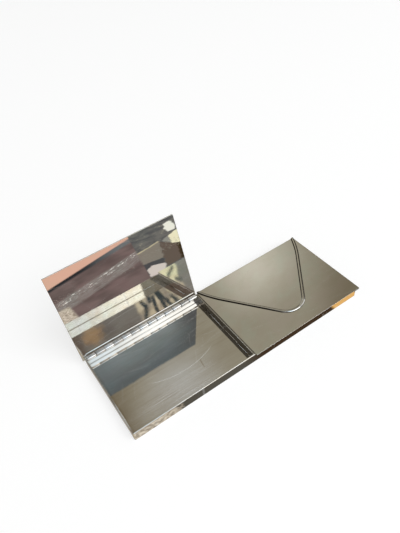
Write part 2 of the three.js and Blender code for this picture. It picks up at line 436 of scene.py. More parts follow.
        # Scratches and scuffs turn pale and less metallic: painted sheen over real marks.
        pale = (scratches * self.scratch_light).most(self.scuffs_and_sheen(graph, place))
        colour = graph.mix(pale, colour, self.PALE_SHEEN)
        rough = self.gloss + patches * self.haze + lines * self.line_haze
        rough = rough + scratches * self.scratch_haze + self.rub(graph, place)
        sway = graph.mottle(place, Mottle((self.buckle_size,) * 3, turn=0.3, shift=(11, 5, 2), detail=1.0))
        height = lines * self.line_depth + sway * self.buckle
        bump = {"Strength": 1.0, "Distance": 1 / METRE, "Height": height}
        sockets = {
            "Base Color": colour,
            "Metallic": 1 - pale,
            "Roughness": rough,
            "Normal": graph.node("ShaderNodeBump", sockets=bump),
        }
        shader = graph.node("ShaderNodeBsdfPrincipled", sockets=sockets)
        graph.node("ShaderNodeOutputMaterial", sockets={"Surface": shader})
        return made


@dataclass(frozen=True)
class BorderedSheet(SilverPlate):
    """A sheet that is toned along its border."""

    margin_low: Triple = (0.0, 0.0, 0.0)
    margin_high: Triple = (1.0, 1.0, 1.0)
    border_width: float = 3.0
    fray_size: float = 7.0

    def border(self, graph: Graph, place: Signal) -> Signal:
        """A frayed border on either half of the box.

        Args:
            graph: the tree.
            place: places in millimetres.

        Returns:
            How much of the border shows, and 0 farther in.
        """
        x, y, _ = graph.split(place)
        out = abs(x)
        across = (out - self.margin_low[0]).least(self.margin_high[0] - out)
        inside = across.least((y - self.margin_low[1]).least(self.margin_high[1] - y))
        fray = graph.mottle(place, Mottle((self.fray_size,) * 3, detail=3.0))
        return graph.ease(inside, self.border_width, 0.0) * fray


@dataclass(frozen=True)
class LidPlate(BorderedSheet):
    """The lids' sheet, clear and mirror bright inside, softer and more handled on top."""

    SCUFFS: ClassVar[Mottle] = Mottle((2.6, 0.7, 0.7), turn=0.5, detail=4.0, roughness=0.7)
    SCUFF_REACH: ClassVar[Pair] = (0.52, 0.68)
    HUES: ClassVar[Mottle] = Mottle((19, 13, 13), turn=0.6, shift=(3, 8, 1))
    ROSE: ClassVar[Colour] = (0.86, 0.81, 0.79, 1)
    ROSE_REACH: ClassVar[Pair] = (0.50, 0.66)
    GREEN: ClassVar[Colour] = (0.82, 0.86, 0.815, 1)
    GREEN_REACH: ClassVar[Pair] = (0.50, 0.34)

    border_width: float = 2.4
    fray_size: float = 6.0
    border_share: float = 0.5
    face_blur: float = 0.1
    inner_tone: float = 0.3
    strip_inset: float = 22.0
    strip_reach: Pair = (7.0, 2.0)
    strip_dulled: float = 0.22
    top_dulled: float = 0.03
    hue_share: float = 0.6

    def outside(self, graph: Graph, place: Signal) -> Signal:
        """1 on the lid's top and 0 on its inside."""
        middle = (self.margin_low[2] + self.margin_high[2]) / 2
        return graph.ease(graph.split(place)[2], middle - self.face_blur, middle + self.face_blur)

    def patches(self, graph: Graph, place: Signal) -> Signal:
        """Clouds of toning, faint on the inside."""
        return super().patches(graph, place) * self.outside(graph, place).lifted(self.inner_tone)

    def toning_and_shade(self, graph: Graph, place: Signal) -> Signal:
        """A faint toned border along the outline."""
        return self.border(graph, place) * self.border_share

    def rub(self, graph: Graph, place: Signal) -> Signal:
        """Handling dulls the top, and scuffs lie in a strip on the inside, where papers slide past.

        Args:
            graph: the tree.
            place: places in millimetres.

        Returns:
            The added roughness.
        """
        top = self.outside(graph, place)
        _, y, _ = graph.split(place)
        strip = graph.ease(abs(y - (self.margin_low[1] + self.strip_inset)), *self.strip_reach)
        scuffs = strip * graph.ease(graph.mottle(place, self.SCUFFS), *self.SCUFF_REACH)
        return top * self.top_dulled + (1 - top) * scuffs * self.strip_dulled

    def tint(self, graph: Graph, place: Signal, colour: Signal) -> Signal:
        """Faint rose and green clouds, as thin toning gives.

        Args:
            graph: the tree.
            place: places in millimetres.
            colour: the sheet's colour without them.

        Returns:
            The colour with its hues.
        """
        cloud = graph.mottle(place, self.HUES)
        colour = graph.mix(graph.ease(cloud, *self.ROSE_REACH) * self.hue_share, colour, self.ROSE)
        return graph.mix(graph.ease(cloud, *self.GREEN_REACH) * self.hue_share, colour, self.GREEN)


@dataclass(frozen=True)
class TrayFloor(BorderedSheet):
    """The floor of the trays, brushed along its length by what was kept there."""

    BROAD_MARKS: ClassVar[Mottle] = Mottle((120, 9, 9), turn=-0.02, shift=(3, 9, 0), detail=1.0)
    FINE_MARKS: ClassVar[Mottle] = Mottle((46, 0.9, 0.9), turn=-0.03, shift=(1, 4, 0))
    MARK_REACH: ClassVar[Pair] = (0.38, 0.62)
    BRUSH: ClassVar[Mottle] = Mottle((44, 0.42, 0.42), turn=-0.02, shift=(7, 2, 0), roughness=0.6)
    BRUSH_REACH: ClassVar[Pair] = (0.44, 0.74)

    bow_centre: Triple = (-44.0, 49.5, 1.0)
    bow_radius: float = 62.5
    bow_width: Pair = (0.40, 0.15)
    bow_front: Pair = (-6, -9)
    bow_span: Span = (-84, -70, -2, 0)
    bow_sheen: float = 0.3
    nick_place: Pair = (-29.3, -15.5)
    nick_lean: float = 0.143
    nick_width: Pair = (0.7, 0.3)
    nick_length: Pair = (4.5, 3.0)
    nick_share: float = 0.7
    mark_tone: float = 0.26
    mark_dulled: float = 0.02
    wear_and_sheen_front: Pair = (-8, -26)
    wear_and_sheen_middle: float = -60
    wear_and_sheen_reach: Pair = (46, 20)
    worn_dulled: float = 0.06
    brush_sheen: float = 0.42

    def toning_and_shade(self, graph: Graph, place: Signal) -> Signal:
        """Toning left in the corners beside the walls, in the marks and in a nick.

        Args:
            graph: the tree.
            place: places in millimetres.

        Returns:
            How much toning is added.
        """
        x, y, _ = graph.split(place)
        nick = graph.ease(abs(x - y * self.nick_lean - self.nick_place[0]), *self.nick_width)
        nick = nick * graph.ease(abs(y - self.nick_place[1]), *self.nick_length)
        return self.border(graph, place) + self.marks(graph, place) * self.mark_tone + nick * self.nick_share

    def bow(self, graph: Graph, place: Signal) -> Signal:
        """One long bowed scratch in the left tray.

        Args:
            graph: the tree.
            place: places in millimetres.

        Returns:
            1 in the scratch and 0 beside it.
        """
        x, y, _ = graph.split(place)
        away = abs(graph.distance(place, self.bow_centre) - self.bow_radius)
        line = graph.ease(away, *self.bow_width) * graph.ease(y, *self.bow_front)
        return line * graph.band(x, *self.bow_span)

    def marks(self, graph: Graph, place: Signal) -> Signal:
        """Long soft marks where things were slid in and out, with fine ones among them.

        Args:
            graph: the tree.
            place: places in millimetres.

        Returns:
            1 in a mark and 0 beside it.
        """
        broad = graph.mottle(place, self.BROAD_MARKS)
        fine = graph.mottle(place, self.FINE_MARKS)
        return graph.ease((broad + fine) / 2, *self.MARK_REACH)

    def front_wear_and_sheen(self, graph: Graph, place: Signal) -> Signal:
        """The front of the left tray, which is worn most and has a painted sheen."""
        x, y, _ = graph.split(place)
        return graph.ease(y, *self.wear_and_sheen_front) * graph.ease(abs(x - self.wear_and_sheen_middle), *self.wear_and_sheen_reach)

    def rub(self, graph: Graph, place: Signal) -> Signal:
        """The marks are duller than the sheet, and most of all at the front of the left tray."""
        return self.marks(graph, place) * self.mark_dulled + self.front_wear_and_sheen(graph, place) * self.worn_dulled

    def scuffs_and_sheen(self, graph: Graph, place: Signal) -> Signal:
        """Fine pale brush marks at the front of the left tray, and the bowed scratch: painted sheen over real
        marks.

        Args:
            graph: the tree.
            place: places in millimetres.

        Returns:
            How pale a place is.
        """
        brush = graph.ease(graph.mottle(place, self.BRUSH), *self.BRUSH_REACH)
        # Painted sheen on the brushed front and on the bowed scratch.
        sheen = self.front_wear_and_sheen(graph, place) * brush * self.brush_sheen
        return sheen.most(self.bow(graph, place) * self.bow_sheen)


@dataclass(frozen=True)
class RaisedWire(SilverPlate):
    """A wire or strip, bright along its crown and dark towards its foot: painted shade, which on the bead is
    partly tarnish at the foot.

    Heights are shares of the way from the foot to the crown. The dark thins in front of a given place,
    towards the bead's tip.
    """

    foot: float = 0.0
    crown: float = 1.0
    bright_from: float = 0.45
    dark_below: float = 0.10
    clear_below: float = -1.0
    clear_reach: float = 0.1
    clear_tone: float = 0.25
    shade_thins_from: float = -1000.0
    shade_thinning_reach: float = 8.0
    shade_thinning_share: float = 0.40

    def toning_and_shade(self, graph: Graph, place: Signal) -> Signal:
        """Painted shade as dark lines along the foot, or at a height above it, partly tarnish at the bead's
        foot, thinning towards the front.

        Args:
            graph: the tree.
            place: places in millimetres.

        Returns:
            How much painted shade and toning is added.
        """
        _, y, z = graph.split(place)
        thinning = graph.ease(y, self.shade_thins_from, self.shade_thins_from - self.shade_thinning_reach)
        rise = (z - self.foot) / (self.crown - self.foot) + thinning * self.shade_thinning_share
        # Painted shade: dark below the crown, partly tarnish at the bead's foot.
        dark = graph.ease(rise, self.bright_from, self.dark_below)
        clear = graph.ease(rise, self.clear_below, self.clear_below + self.clear_reach)
        return dark * clear.lifted(self.clear_tone)


@dataclass(frozen=True)
class Extent:
    """A box in millimetres."""

    low: Vector
    high: Vector

    @classmethod
    def of(cls, node: str) -> "Extent":
        """The box of a CAD node at rest."""
        low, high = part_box(node)
        return cls(low * METRE, high * METRE)

    @property
    def size(self) -> Vector:
        """Length of each side."""
        return self.high - self.low

    @property
    def middle(self) -> Vector:
        """The box's centre."""
        return (self.high + self.low) / 2

    def on(self, side: Side) -> "Extent":
        """The same box on a half of the case, from the one on the right half.

        Args:
            side: the half.

        Returns:
            The box there.
        """
        if side is Side.RIGHT:
            return self
        low = Vector((-self.high.x, self.low.y, self.low.z))
        high = Vector((-self.low.x, self.high.y, self.high.z))
        return Extent(low, high)


@dataclass(frozen=True)
class Joint:
    """The hinge that a lid turns on, in millimetres, with the angle from closed to rest."""

    place: Vector
    axis: Vector
    angle: float

    @classmethod
    def of(cls, body: str) -> "Joint":
        """The joint that carries a body of the frame."""
        row = next(row for row in frame["joints"] if row["child"] == body)
        return cls(Vector(row["pos_m"]) * METRE, Vector(row["axis"]), -math.radians(row["range_deg"][0]))

    def turn(self) -> Matrix | None:
        """The turn from closed to rest.

        Returns:
            The turn about the hinge, or None where the lid rests closed.
        """
        if not self.angle:
            return None
        pivot = Matrix.Translation(self.place)
        return pivot @ Matrix.Rotation(self.angle, 4, self.axis) @ pivot.inverted()


def points(items: Iterable[object]) -> list[bmesh.types.BMVert]:
    """The points among what an operator made."""
    return [item for item in items if isinstance(item, bmesh.types.BMVert)]


def without_faces(items: Iterable[object]) -> list[bmesh.types.BMVert | bmesh.types.BMEdge]:
    """The points and edges among what an operator made."""
    return [item for item in items if not isinstance(item, bmesh.types.BMFace)]


def set_out(name: str, mesh: bmesh.types.BMesh, material: bpy.types.Material) -> bpy.types.Object:
    """Makes a mesh an object of the scene, at the origin.

    Args:
        name: the object's name.
        mesh: its mesh, with its place in it, which is used up.
        material: its material.

    Returns:
        The object.
    """
    data = bpy.data.meshes.new(name)
    mesh.to_mesh(data)
    mesh.free()
    data.materials.append(material)
    made = bpy.data.objects.new(name, data)
    bpy.context.scene.collection.objects.link(made)
    return made


class Blank:
    """One piece in the making, in millimetres, where it lies on the closed box."""

    SHARP = math.radians(40)
    SEAM = 0.28
    SUNK = 0.03
    ARC_STEP = math.radians(9)
    ARC_STEPS = 4
    ON_PLANE = 1e-3
    CUT_REACH = 1e-5

    def __init__(self) -> None:
        """Starts with an empty mesh that can mark its rounded edges, where bared metal shows and, on the
        hinge tubes, painted shade.
        """
        self.mesh = bmesh.new()
        self.rounded_edge = self.mesh.faces.layers.float.new("rounded_edge")
        self.outline: bmesh.types.BMFace | None = None

    def everything(self) -> list[bmesh.types.BMVert | bmesh.types.BMEdge | bmesh.types.BMFace]:
        """All points, edges and faces."""
        return self.mesh.verts[:] + self.mesh.edges[:] + self.mesh.faces[:]

    def face_out(self) -> None:
        """Turns every face outwards."""
        bmesh.ops.recalc_face_normals(self.mesh, faces=self.mesh.faces[:])

    def close_up(self) -> None:
        """Merges the points that meet and turns every face outwards."""
        bmesh.ops.remove_doubles(self.mesh, verts=self.mesh.verts[:], dist=MERGE)
        self.face_out()

    def block(self, extent: Extent) -> "Blank":
        """Starts from a plain block.

        Args:
            extent: the block's box.

        Returns:
            The same piece.
        """
        made = bmesh.ops.create_cube(self.mesh, size=1.0)["verts"]
        bmesh.ops.scale(self.mesh, vec=extent.size, verts=made)
        bmesh.ops.translate(self.mesh, vec=extent.middle, verts=made)
        return self

    def edges(self, test: Callable[[Vector, Vector], bool]) -> list[bmesh.types.BMEdge]:
        """The edges whose two ends pass a test."""
        return [edge for edge in self.mesh.edges if test(edge.verts[0].co, edge.verts[1].co)]

    def soften(self, edges: Iterable[bmesh.types.BMEdge], radius: float, segments: int = 3) -> "Blank":
        """Rounds edges over and marks them: bared metal shows there, and on the hinge tubes painted shade.

        Args:
            edges: the edges to round.
            radius: the rounding's size.
            segments: how many faces it has.

        Returns:
            The same piece.
        """
        made = bmesh.ops.bevel(
            self.mesh,
            geom=list(edges),
            offset=radius,
            offset_type="OFFSET",
            segments=segments,
            profile=0.5,
            affect="EDGES",
            material=-1,
            clamp_overlap=True,
        )
        for face in made["faces"]:
            face.smooth = True
            face[self.rounded_edge] = 1.0
        return self

    def arc(self, start: bmesh.types.BMVert, centre: Pair, turn: float, steps: int) -> bmesh.types.BMVert:
        """Draws an arc from a point about an axis along X.

        Args:
            start: the point.
            centre: the arc's centre, in Y and Z.
            turn: its angle, as seen from +X.
            steps: in how many steps.

        Returns:
            The point at the arc's other end.
        """
        made = bmesh.ops.spin(
            self.mesh,
            geom=[start],
            cent=(0, *centre),
            axis=(1, 0, 0),
            angle=turn,
            steps=steps,
            use_duplicate=False,
        )
        return points(made["geom_last"])[0]

    def section(self, corners: Sequence[Pair], centre: Pair, turn: float) -> "Blank":
        """Draws a flat outline in Y and Z: straight from corner to corner, then round in an arc.

        Args:
            corners: the corners, of which the last is the arc's start.
            centre: the arc's centre.
            turn: the arc's angle, as seen from +X.

        Returns:
            The same piece.
        """
        before = set(self.mesh.verts)
        spots = [self.mesh.verts.new((0, y, z)) for y, z in corners]
        for first, second in zip(spots, spots[1:]):
            self.mesh.edges.new((first, second))
        steps = max(self.ARC_STEPS, round(abs(turn) / self.ARC_STEP))
        last = self.arc(spots[-1], centre, turn, steps)
        self.mesh.edges.new((last, spots[0]))
        border = {edge for vert in self.mesh.verts if vert not in before for edge in vert.link_edges}
        self.outline = bmesh.ops.contextual_create(self.mesh, geom=list(border))["faces"][0]
        return self

    def draw_out(self, start: float, end: float) -> "Blank":
        """Draws the last flat outline out along X.

        Args:
            start: where it starts.
            end: where it ends.

        Returns:
            The same piece.
        """
        bmesh.ops.translate(self.mesh, vec=(start, 0, 0), verts=self.outline.verts[:])
        made = bmesh.ops.extrude_face_region(self.mesh, geom=[self.outline])
        bmesh.ops.translate(self.mesh, vec=(end - start, 0, 0), verts=points(made["geom"]))
        self.face_out()
        return self

    def seam(self, face: float, floor: float, outward: int, span: Pair, across: bool = False) -> "Blank":
        """Adds a hollow solder seam where an upright face stands on the floor.

        Args:
            face: where the upright face stands.
            floor: the floor's height.
            outward: the direction that the face looks in.
            span: where the seam starts and ends along the face.
            across: whether the face runs from front to back rather than along X.

        Returns:
            The same piece.
        """
        before = set(self.mesh.verts)
        radius = self.SEAM
        corners = [(face - outward * self.SUNK, floor - self.SUNK), (face, floor + radius)]
        self.section(corners, (face + outward * radius, floor + radius), outward * math.pi / 2)
        self.draw_out(*span)
        fresh = [vert for vert in self.mesh.verts if vert not in before]
        for made in {item for vert in fresh for item in vert.link_faces}:
            made.smooth = len(made.verts) == 4
        if across:
            swapped = Matrix(((0, 1, 0), (1, 0, 0), (0, 0, 1)))
            bmesh.ops.transform(self.mesh, matrix=swapped.to_4x4(), verts=fresh)
            self.face_out()
        return self

    def trim(self, point: Vector, outward: Vector) -> "Blank":
        """Cuts off what lies outside a plane and closes the cut.

        Args:
            point: a point of the plane.
            outward: the plane's normal.

        Returns:
            The same piece.
        """
        bmesh.ops.bisect_plane(
            self.mesh,
            geom=self.everything(),
            dist=self.CUT_REACH,
            plane_co=point,
            plane_no=outward,
            clear_outer=True,
        )

        def on_plane(*ends: Vector) -> bool:
            """Whether an edge lies in the plane."""
            return all(abs((end - point) @ outward) < self.ON_PLANE for end in ends)

        cut = [edge for edge in self.edges(on_plane) if edge.is_boundary]
        for face in bmesh.ops.holes_fill(self.mesh, edges=cut, sides=0)["faces"]:
            face.smooth = False
        return self

    def smooth_rounds(self) -> "Blank":
        """Shades every face smooth and keeps the corners between forms sharp.

        Returns:
            The same piece.
        """
        for face in self.mesh.faces:
            face.smooth = True
        for edge in self.mesh.edges:
            if len(edge.link_faces) == 2 and edge.calc_face_angle() > self.SHARP:
                edge.smooth = False
        return self

    def piece(
        self, node: str, body: str, slot: Slot, finish: bpy.types.Material, turn: Matrix | None = None
    ) -> bpy.types.Object:
        """Ends the making: records each point's place, turns the piece open and sets it on its body.

        Args:
            node: the CAD node that the piece stands for.
            body: the body that it rides on.
            slot: the record's slot for its finish; not used.
            finish: its material.
            turn: the turn from closed to open, if there is one.

        Returns:
            The finished piece.
        """
        place = self.mesh.verts.layers.float_vector.new("place")
        for vert in self.mesh.verts:
            vert[place] = vert.co
        if turn is not None:
            bmesh.ops.transform(self.mesh, matrix=turn, verts=self.mesh.verts[:])
        bmesh.ops.scale(self.mesh, vec=(1 / METRE,) * 3, verts=self.mesh.verts[:])
        made = set_out(f"{node}_finished", self.mesh, finish)
        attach(made, body)
        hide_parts(node)
        LOG.info("%s on %s: %d faces", made.name, body, len(made.data.polygons))
        return made


class Finishes:
    """The box's materials, each made once."""

    BEAD_TIP = 14.0

    def __init__(self) -> None:
        """Writes every material, with its borders taken from the frame."""
        lid = Extent.of("right_lid_plate")
        bead = Extent.of("right_flap_bead")
        ledge = Extent.of("right_lid_bearer")
        floor = Extent.of("bottom_plate")
        divider = Extent.of("divider_wall")
        self.wall = SilverPlate(
            "plated_wall_sheet",
            silver=(0.845, 0.835, 0.80, 1),
            tarnish_and_shade=(0.64, 0.585, 0.51, 1),
            gloss=0.035,
            haze=0.03,
            line_depth=0.0004,
            cloud_size=(60.0, 26.0, 12.0),
            fleck_size=(26.0, 6.0, 1.6),
        ).material()
        self.lid = LidPlate(
            "plated_lid_sheet",
            silver=(0.87, 0.86, 0.825, 1),
            tarnish_and_shade=(0.75, 0.70, 0.635, 1),
            gloss=0.012,
            haze=0.012,
            line_haze=0.006,
            line_depth=0.0003,
            scratch_light=0.10,
            tone_share=0.5,
            fleck_size=(11.0, 8.0, 8.0),
            margin_low=tuple(lid.low),
            margin_high=tuple(lid.high),
        ).material()
        self.floor = TrayFloor(
            "brushed_tray_floor",
            silver=(0.82, 0.795, 0.75, 1),
            tarnish_and_shade=(0.60, 0.53, 0.44, 1),
            gloss=0.014,
            haze=0.012,
            line_length=60,
            line_width=0.35,
            line_depth=0.002,
            line_haze=0.02,
            buckle=0.018,
            buckle_size=13,
            fleck_size=(34.0, 6.0, 6.0),
            margin_low=(divider.high.x, floor.low.y, floor.low.z),
            margin_high=tuple(floor.high),
        ).material()
        self.bead = RaisedWire(
            "polished_bead_wire",
            silver=(0.86, 0.84, 0.79, 1),
            # Near-black tone: painted shade along the bead's flanks, partly tarnish at its foot.
            tarnish_and_shade=(0.045, 0.04, 0.03, 1),
            gloss=0.05,
            haze=0.03,
            line_length=3,
            buckle=0.0,
            tone_share=0.06,
            foot=bead.low.z,
            crown=bead.high.z,
            bright_from=0.88,
            dark_below=0.62,
            shade_thins_from=bead.low.y + self.BEAD_TIP,
        ).material()
        self.strip = SilverPlate(
            "polished_hinge_strip",
            silver=(0.665, 0.665, 0.66, 1),
            tarnish_and_shade=(0.54, 0.53, 0.51, 1),
            gloss=0.04,
            haze=0.03,
            buckle=0.0,
            tone_share=0.25,
            bared_and_gap_shade_share=0.0,
        ).material()
        self.ledge = RaisedWire(
            "hinge_ledge_painted_shade",
            silver=(0.90, 0.885, 0.855, 1),
            # Dark tone from just above the ledge's lower edge to near its top: painted shade.
            tarnish_and_shade=(0.11, 0.095, 0.075, 1),
            gloss=0.05,
            haze=0.03,
            buckle=0.0,
            tone_share=0.2,
            bared_and_gap_shade_share=0.0,
            foot=ledge.low.z,
            crown=ledge.high.z,
            bright_from=0.82,
            dark_below=0.67,
            clear_below=0.03,
        ).material()
        tube = SilverPlate(
            "bright_hinge_tube",
            silver=(0.95, 0.94, 0.92, 1),
            tarnish_and_shade=(0.62, 0.55, 0.45, 1),
            # Near-black knuckle ends: painted shade in the gaps between the knuckles.
            bared_and_gap_shade=(0.12, 0.10, 0.07, 1.0),
            gloss=0.11,
            haze=0.06,
            grain=Grain.ACROSS,
            line_length=4,
            line_width=0.15,
            buckle=0.0,
            tone_share=0.25,
            bared_and_gap_shade_share=1.0,
        )
        self.case_tube = tube.material()
        self.lid_tube = replace(
            tube,
            name="dulled_and_shaded_hinge_tube",
            # Darker than the case's knuckles: painted shade on the knuckles of the lid, which are also
            # rougher.
            silver=(0.78, 0.77, 0.75, 1),
            tarnish_and_shade=(0.42, 0.37, 0.30, 1),
            gloss=0.15,
            haze=0.08,
            tone_share=0.45,
        ).material()
        self.pin = SilverPlate(
            "drawn_pin_wire",
            silver=(0.72, 0.60, 0.40, 1),
            tarnish_and_shade=(0.42, 0.31, 0.16, 1),
            gloss=0.24,
            haze=0.12,
            line_length=12,
            line_width=0.1,
            buckle=0.0,
        ).material()


@dataclass
class Tray:
    """The case: floor, walls and the divider between its two trays."""

    finishes: Finishes
    corner_radius: float = 0.95
    corner_segments: int = 8
    rim_radius: float = 0.72
    rim_segments: int = 8
    lip_radius: float = 0.15
    spare_sheet: float = 3.0
    foot_radius: float = 0.16
    seam_end: float = 0.6
    body: str = "case"

    def __post_init__(self) -> None:
        """Takes the hinge axis and the floor's height from the frame."""
        self.floor_top = Extent.of("bottom_plate").high.z
        self.axis: Pair = tuple(Joint.of("left_lid").place.yz)

    def floor(self) -> None:
        """The floor sheet, let in between the walls."""
        extent = Extent.of("bottom_plate")
        blank = Blank().block(extent)
        lower = blank.edges(lambda a, b: max(a.z, b.z) < extent.middle.z)
        blank.soften(lower, self.foot_radius)
        blank.piece("bottom_plate", self.body, Slot.FLOOR, self.finishes.floor)

    def long_wall(self, node: str, outward: int) -> None:
        """The front or back wall, with its outer corners rounded.

        Args:
            node: the wall's CAD node.
            outward: the direction along Y of its outer face.
        """
        extent = Extent.of(node)
        outer, inner = (extent.low.y, extent.high.y) if outward < 0 else (extent.high.y, extent.low.y)
        low, high = extent.low.copy(), extent.high.copy()
        low.y, high.y = sorted((outer, inner - outward * self.spare_sheet))
        blank = Blank().block(Extent(low, high))

        def beyond(a: Vector, b: Vector) -> bool:
            """Whether an edge reaches outside the wall's inner face."""
            return max(abs(a.y), abs(b.y)) > abs(inner)

        upright = blank.edges(lambda a, b: abs(a.z - b.z) > LONG and abs(a.y - outer) < CLOSE)
        blank.soften(upright, self.corner_radius, self.corner_segments)
        rim = blank.edges(lambda a, b: min(a.z, b.z) > high.z - CLOSE and beyond(a, b))
        blank.soften(rim, self.rim_radius, self.rim_segments)
        foot = blank.edges(lambda a, b: max(a.z, b.z) < low.z + CLOSE and beyond(a, b))
        blank.soften(foot, self.foot_radius)
        blank.trim(Vector((0, inner, 0)), Vector((0, -outward, 0)))
        if outward < 0:
            span = (extent.low.x + self.seam_end, extent.high.x - self.seam_end)
            blank.seam(inner, self.floor_top, 1, span)
        blank.piece(node, self.body, Slot.WALL, self.finishes.wall)

    def cross_wall(self, node: str) -> None:
        """A wall from front to back, whose back end is round about the hinge axis.

        Args:
            node: the wall's CAD node.
        """
        extent = Extent.of(node)
        axis_y, axis_z = self.axis
        back = -extent.low.y
        ear = extent.high.z - axis_z
        start = -math.acos((back - axis_y) / ear)
        spring = axis_z + ear * math.sin(start)
        corners = [
            (extent.low.y, extent.high.z),
            (extent.low.y, extent.low.z),
            (back, extent.low.z),
            (back, spring),
        ]
        blank = Blank().section(corners, self.axis, math.pi / 2 - start)
        blank.draw_out(extent.low.x, extent.high.x)
        rim = blank.edges(lambda a, b: abs(a.x - b.x) < CLOSE and min(a.z, b.z) > spring - CLOSE)
        outer = [edge for edge in rim if abs(edge.verts[0].co.x) > abs(extent.middle.x) > LONG]
        blank.soften(set(rim) - set(outer), self.lip_radius)
        blank.soften([edge for edge in outer if edge.is_valid], self.rim_radius, self.rim_segments)
        for outward, face in {1: extent.high.x, -1: extent.low.x}.items():
            if outward * extent.middle.x < LONG:
                span = (extent.low.y, back - self.seam_end)
                blank.seam(face, self.floor_top, outward, span, across=True)
        blank.piece(node, self.body, Slot.WALL, self.finishes.wall)

    def build(self) -> None:
        """Makes every sheet of the case."""
        self.floor()
        self.long_wall("front_wall", -1)
        self.long_wall("back_wall", 1)
        for node in ("left_end_wall", "right_end_wall", "divider_wall"):
            self.cross_wall(node)


@dataclass
class Lid:
    """One lid with the bead that draws an envelope's flap on it."""

    side: Side
    finishes: Finishes
    corner_radius: float = 0.6
    corner_segments: int = 5
    edge_radius: float = 0.2
    edge_segments: int = 4
    bead_margin: float = 0.1
    bead_steps: int = 14
    corner_inset: float = 1.0
    tip_margin: float = 14.5
    tip_radius: float = 14.0
    tip_steps: int = 18
    side_bow: float = 2.6
    bow_radius: float = 100.0
    bow_steps: int = 20
    turn: Matrix | None = field(init=False, default=None)

    def __post_init__(self) -> None:
        """Takes the closed lid's place and its turn to rest from the frame."""
        self.body = f"{self.side.value}_lid"
        self.plate_extent = Extent.of("right_lid_plate").on(self.side)
        self.bead_extent = Extent.of("right_flap_bead").on(self.side)
        self.turn = Joint.of(self.body).turn()

    def plate(self) -> None:
        """The flat sheet, with rounded corners and softened edges."""
        blank = Blank().block(self.plate_extent)
        upright = blank.edges(lambda a, b: abs(a.z - b.z) > CLOSE)
        blank.soften(upright, self.corner_radius, self.corner_segments)
        outline = blank.edges(lambda a, b: abs(a.z - b.z) < CLOSE)
        blank.soften(outline, self.edge_radius, self.edge_segments)
        blank.piece(f"{self.body}_plate", self.body, Slot.LID, self.finishes.lid, self.turn)

    def bead(self) -> None:
        """Half-round wire bent to a round tip, two straight sides and a long bow at each corner."""
        blank = Blank()
        mesh = blank.mesh
        extent = self.plate_extent
        height = self.bead_extent.size.z
        half_lid = extent.size.x / 2
        half_span = half_lid - self.corner_inset
        reach = extent.size.y - self.tip_margin
        half_width = extent.high.y - reach - self.bead_extent.low.y
        depth = reach - self.tip_radius
        swing = math.hypot(depth, half_span)
        lean = math.acos((self.side_bow - self.tip_radius) / swing) - math.atan2(half_span, depth)
        bow = math.acos(1 - self.side_bow / self.bow_radius)
        rise = (self.tip_radius - self.bow_radius) * math.sin(lean)
        length = (half_span - rise - self.bow_radius * math.sin(lean + bow)) / math.cos(lean)
        along = Vector((math.cos(lean), math.sin(lean), 0))
        inward = Vector((-along.y, along.x, 0))
        tip_centre = Vector((0, -depth, 0))

        round_radius = (height**2 + half_width**2) / (2 * height)
        crown = 2 * math.asin(half_width / round_radius)
        foot = mesh.verts.new((0, -reach - half_width, 0))
        last = blank.arc(foot, (-reach, height - round_radius), -crown, self.bead_steps)
        mesh.edges.new((last, foot))

        end = self.bend(mesh, mesh.verts[:] + mesh.edges[:], tip_centre, lean, self.tip_steps)
        ring = [item for item in end if isinstance(item, bmesh.types.BMEdge)]
        end = without_faces(bmesh.ops.extrude_edge_only(mesh, edges=ring)["geom"])
        bmesh.ops.translate(mesh, vec=along * length, verts=points(end))
        bow_centre = tip_centre + along * length + inward * (self.bow_radius - self.tip_radius)
        self.bend(mesh, end, bow_centre, bow + 2 * half_width / self.bow_radius, self.bow_steps)

        blank.trim(Vector((0, -self.bead_margin, 0)), Vector((0, 1, 0)))
        blank.trim(Vector((half_lid - self.bead_margin, 0, 0)), Vector((1, 0, 0)))
        whole = blank.everything()
        bmesh.ops.mirror(mesh, geom=whole, matrix=Matrix.Identity(4), merge_dist=MERGE, axis="X")
        blank.close_up()
        seat = Vector((extent.middle.x, extent.high.y, self.bead_extent.low.z))
        bmesh.ops.translate(mesh, vec=seat, verts=mesh.verts[:])
        blank.smooth_rounds()
        node = f"{self.side.value}_flap_bead"
        blank.piece(node, self.body, Slot.BEAD, self.finishes.bead, self.turn)

    @staticmethod
    def bend(mesh: bmesh.types.BMesh, geom: list, centre: Vector, angle: float, steps: int) -> list:
        """Draws the wire's section round a centre.

        Args:
            mesh: the wire's mesh.
            geom: the section's points and edges.
            centre: the bend's centre.
            angle: how far it turns.
            steps: in how many steps.

        Returns:
            The points and edges of the section at the end.
        """
        made = bmesh.ops.spin(
            mesh, geom=geom, cent=centre, axis=(0, 0, 1), angle=angle, steps=steps, use_duplicate=False
        )
        return without_faces(made["geom_last"])

    def build(self) -> None:
        """Makes the lid's sheet and its bead."""
        self.plate()
        self.bead()


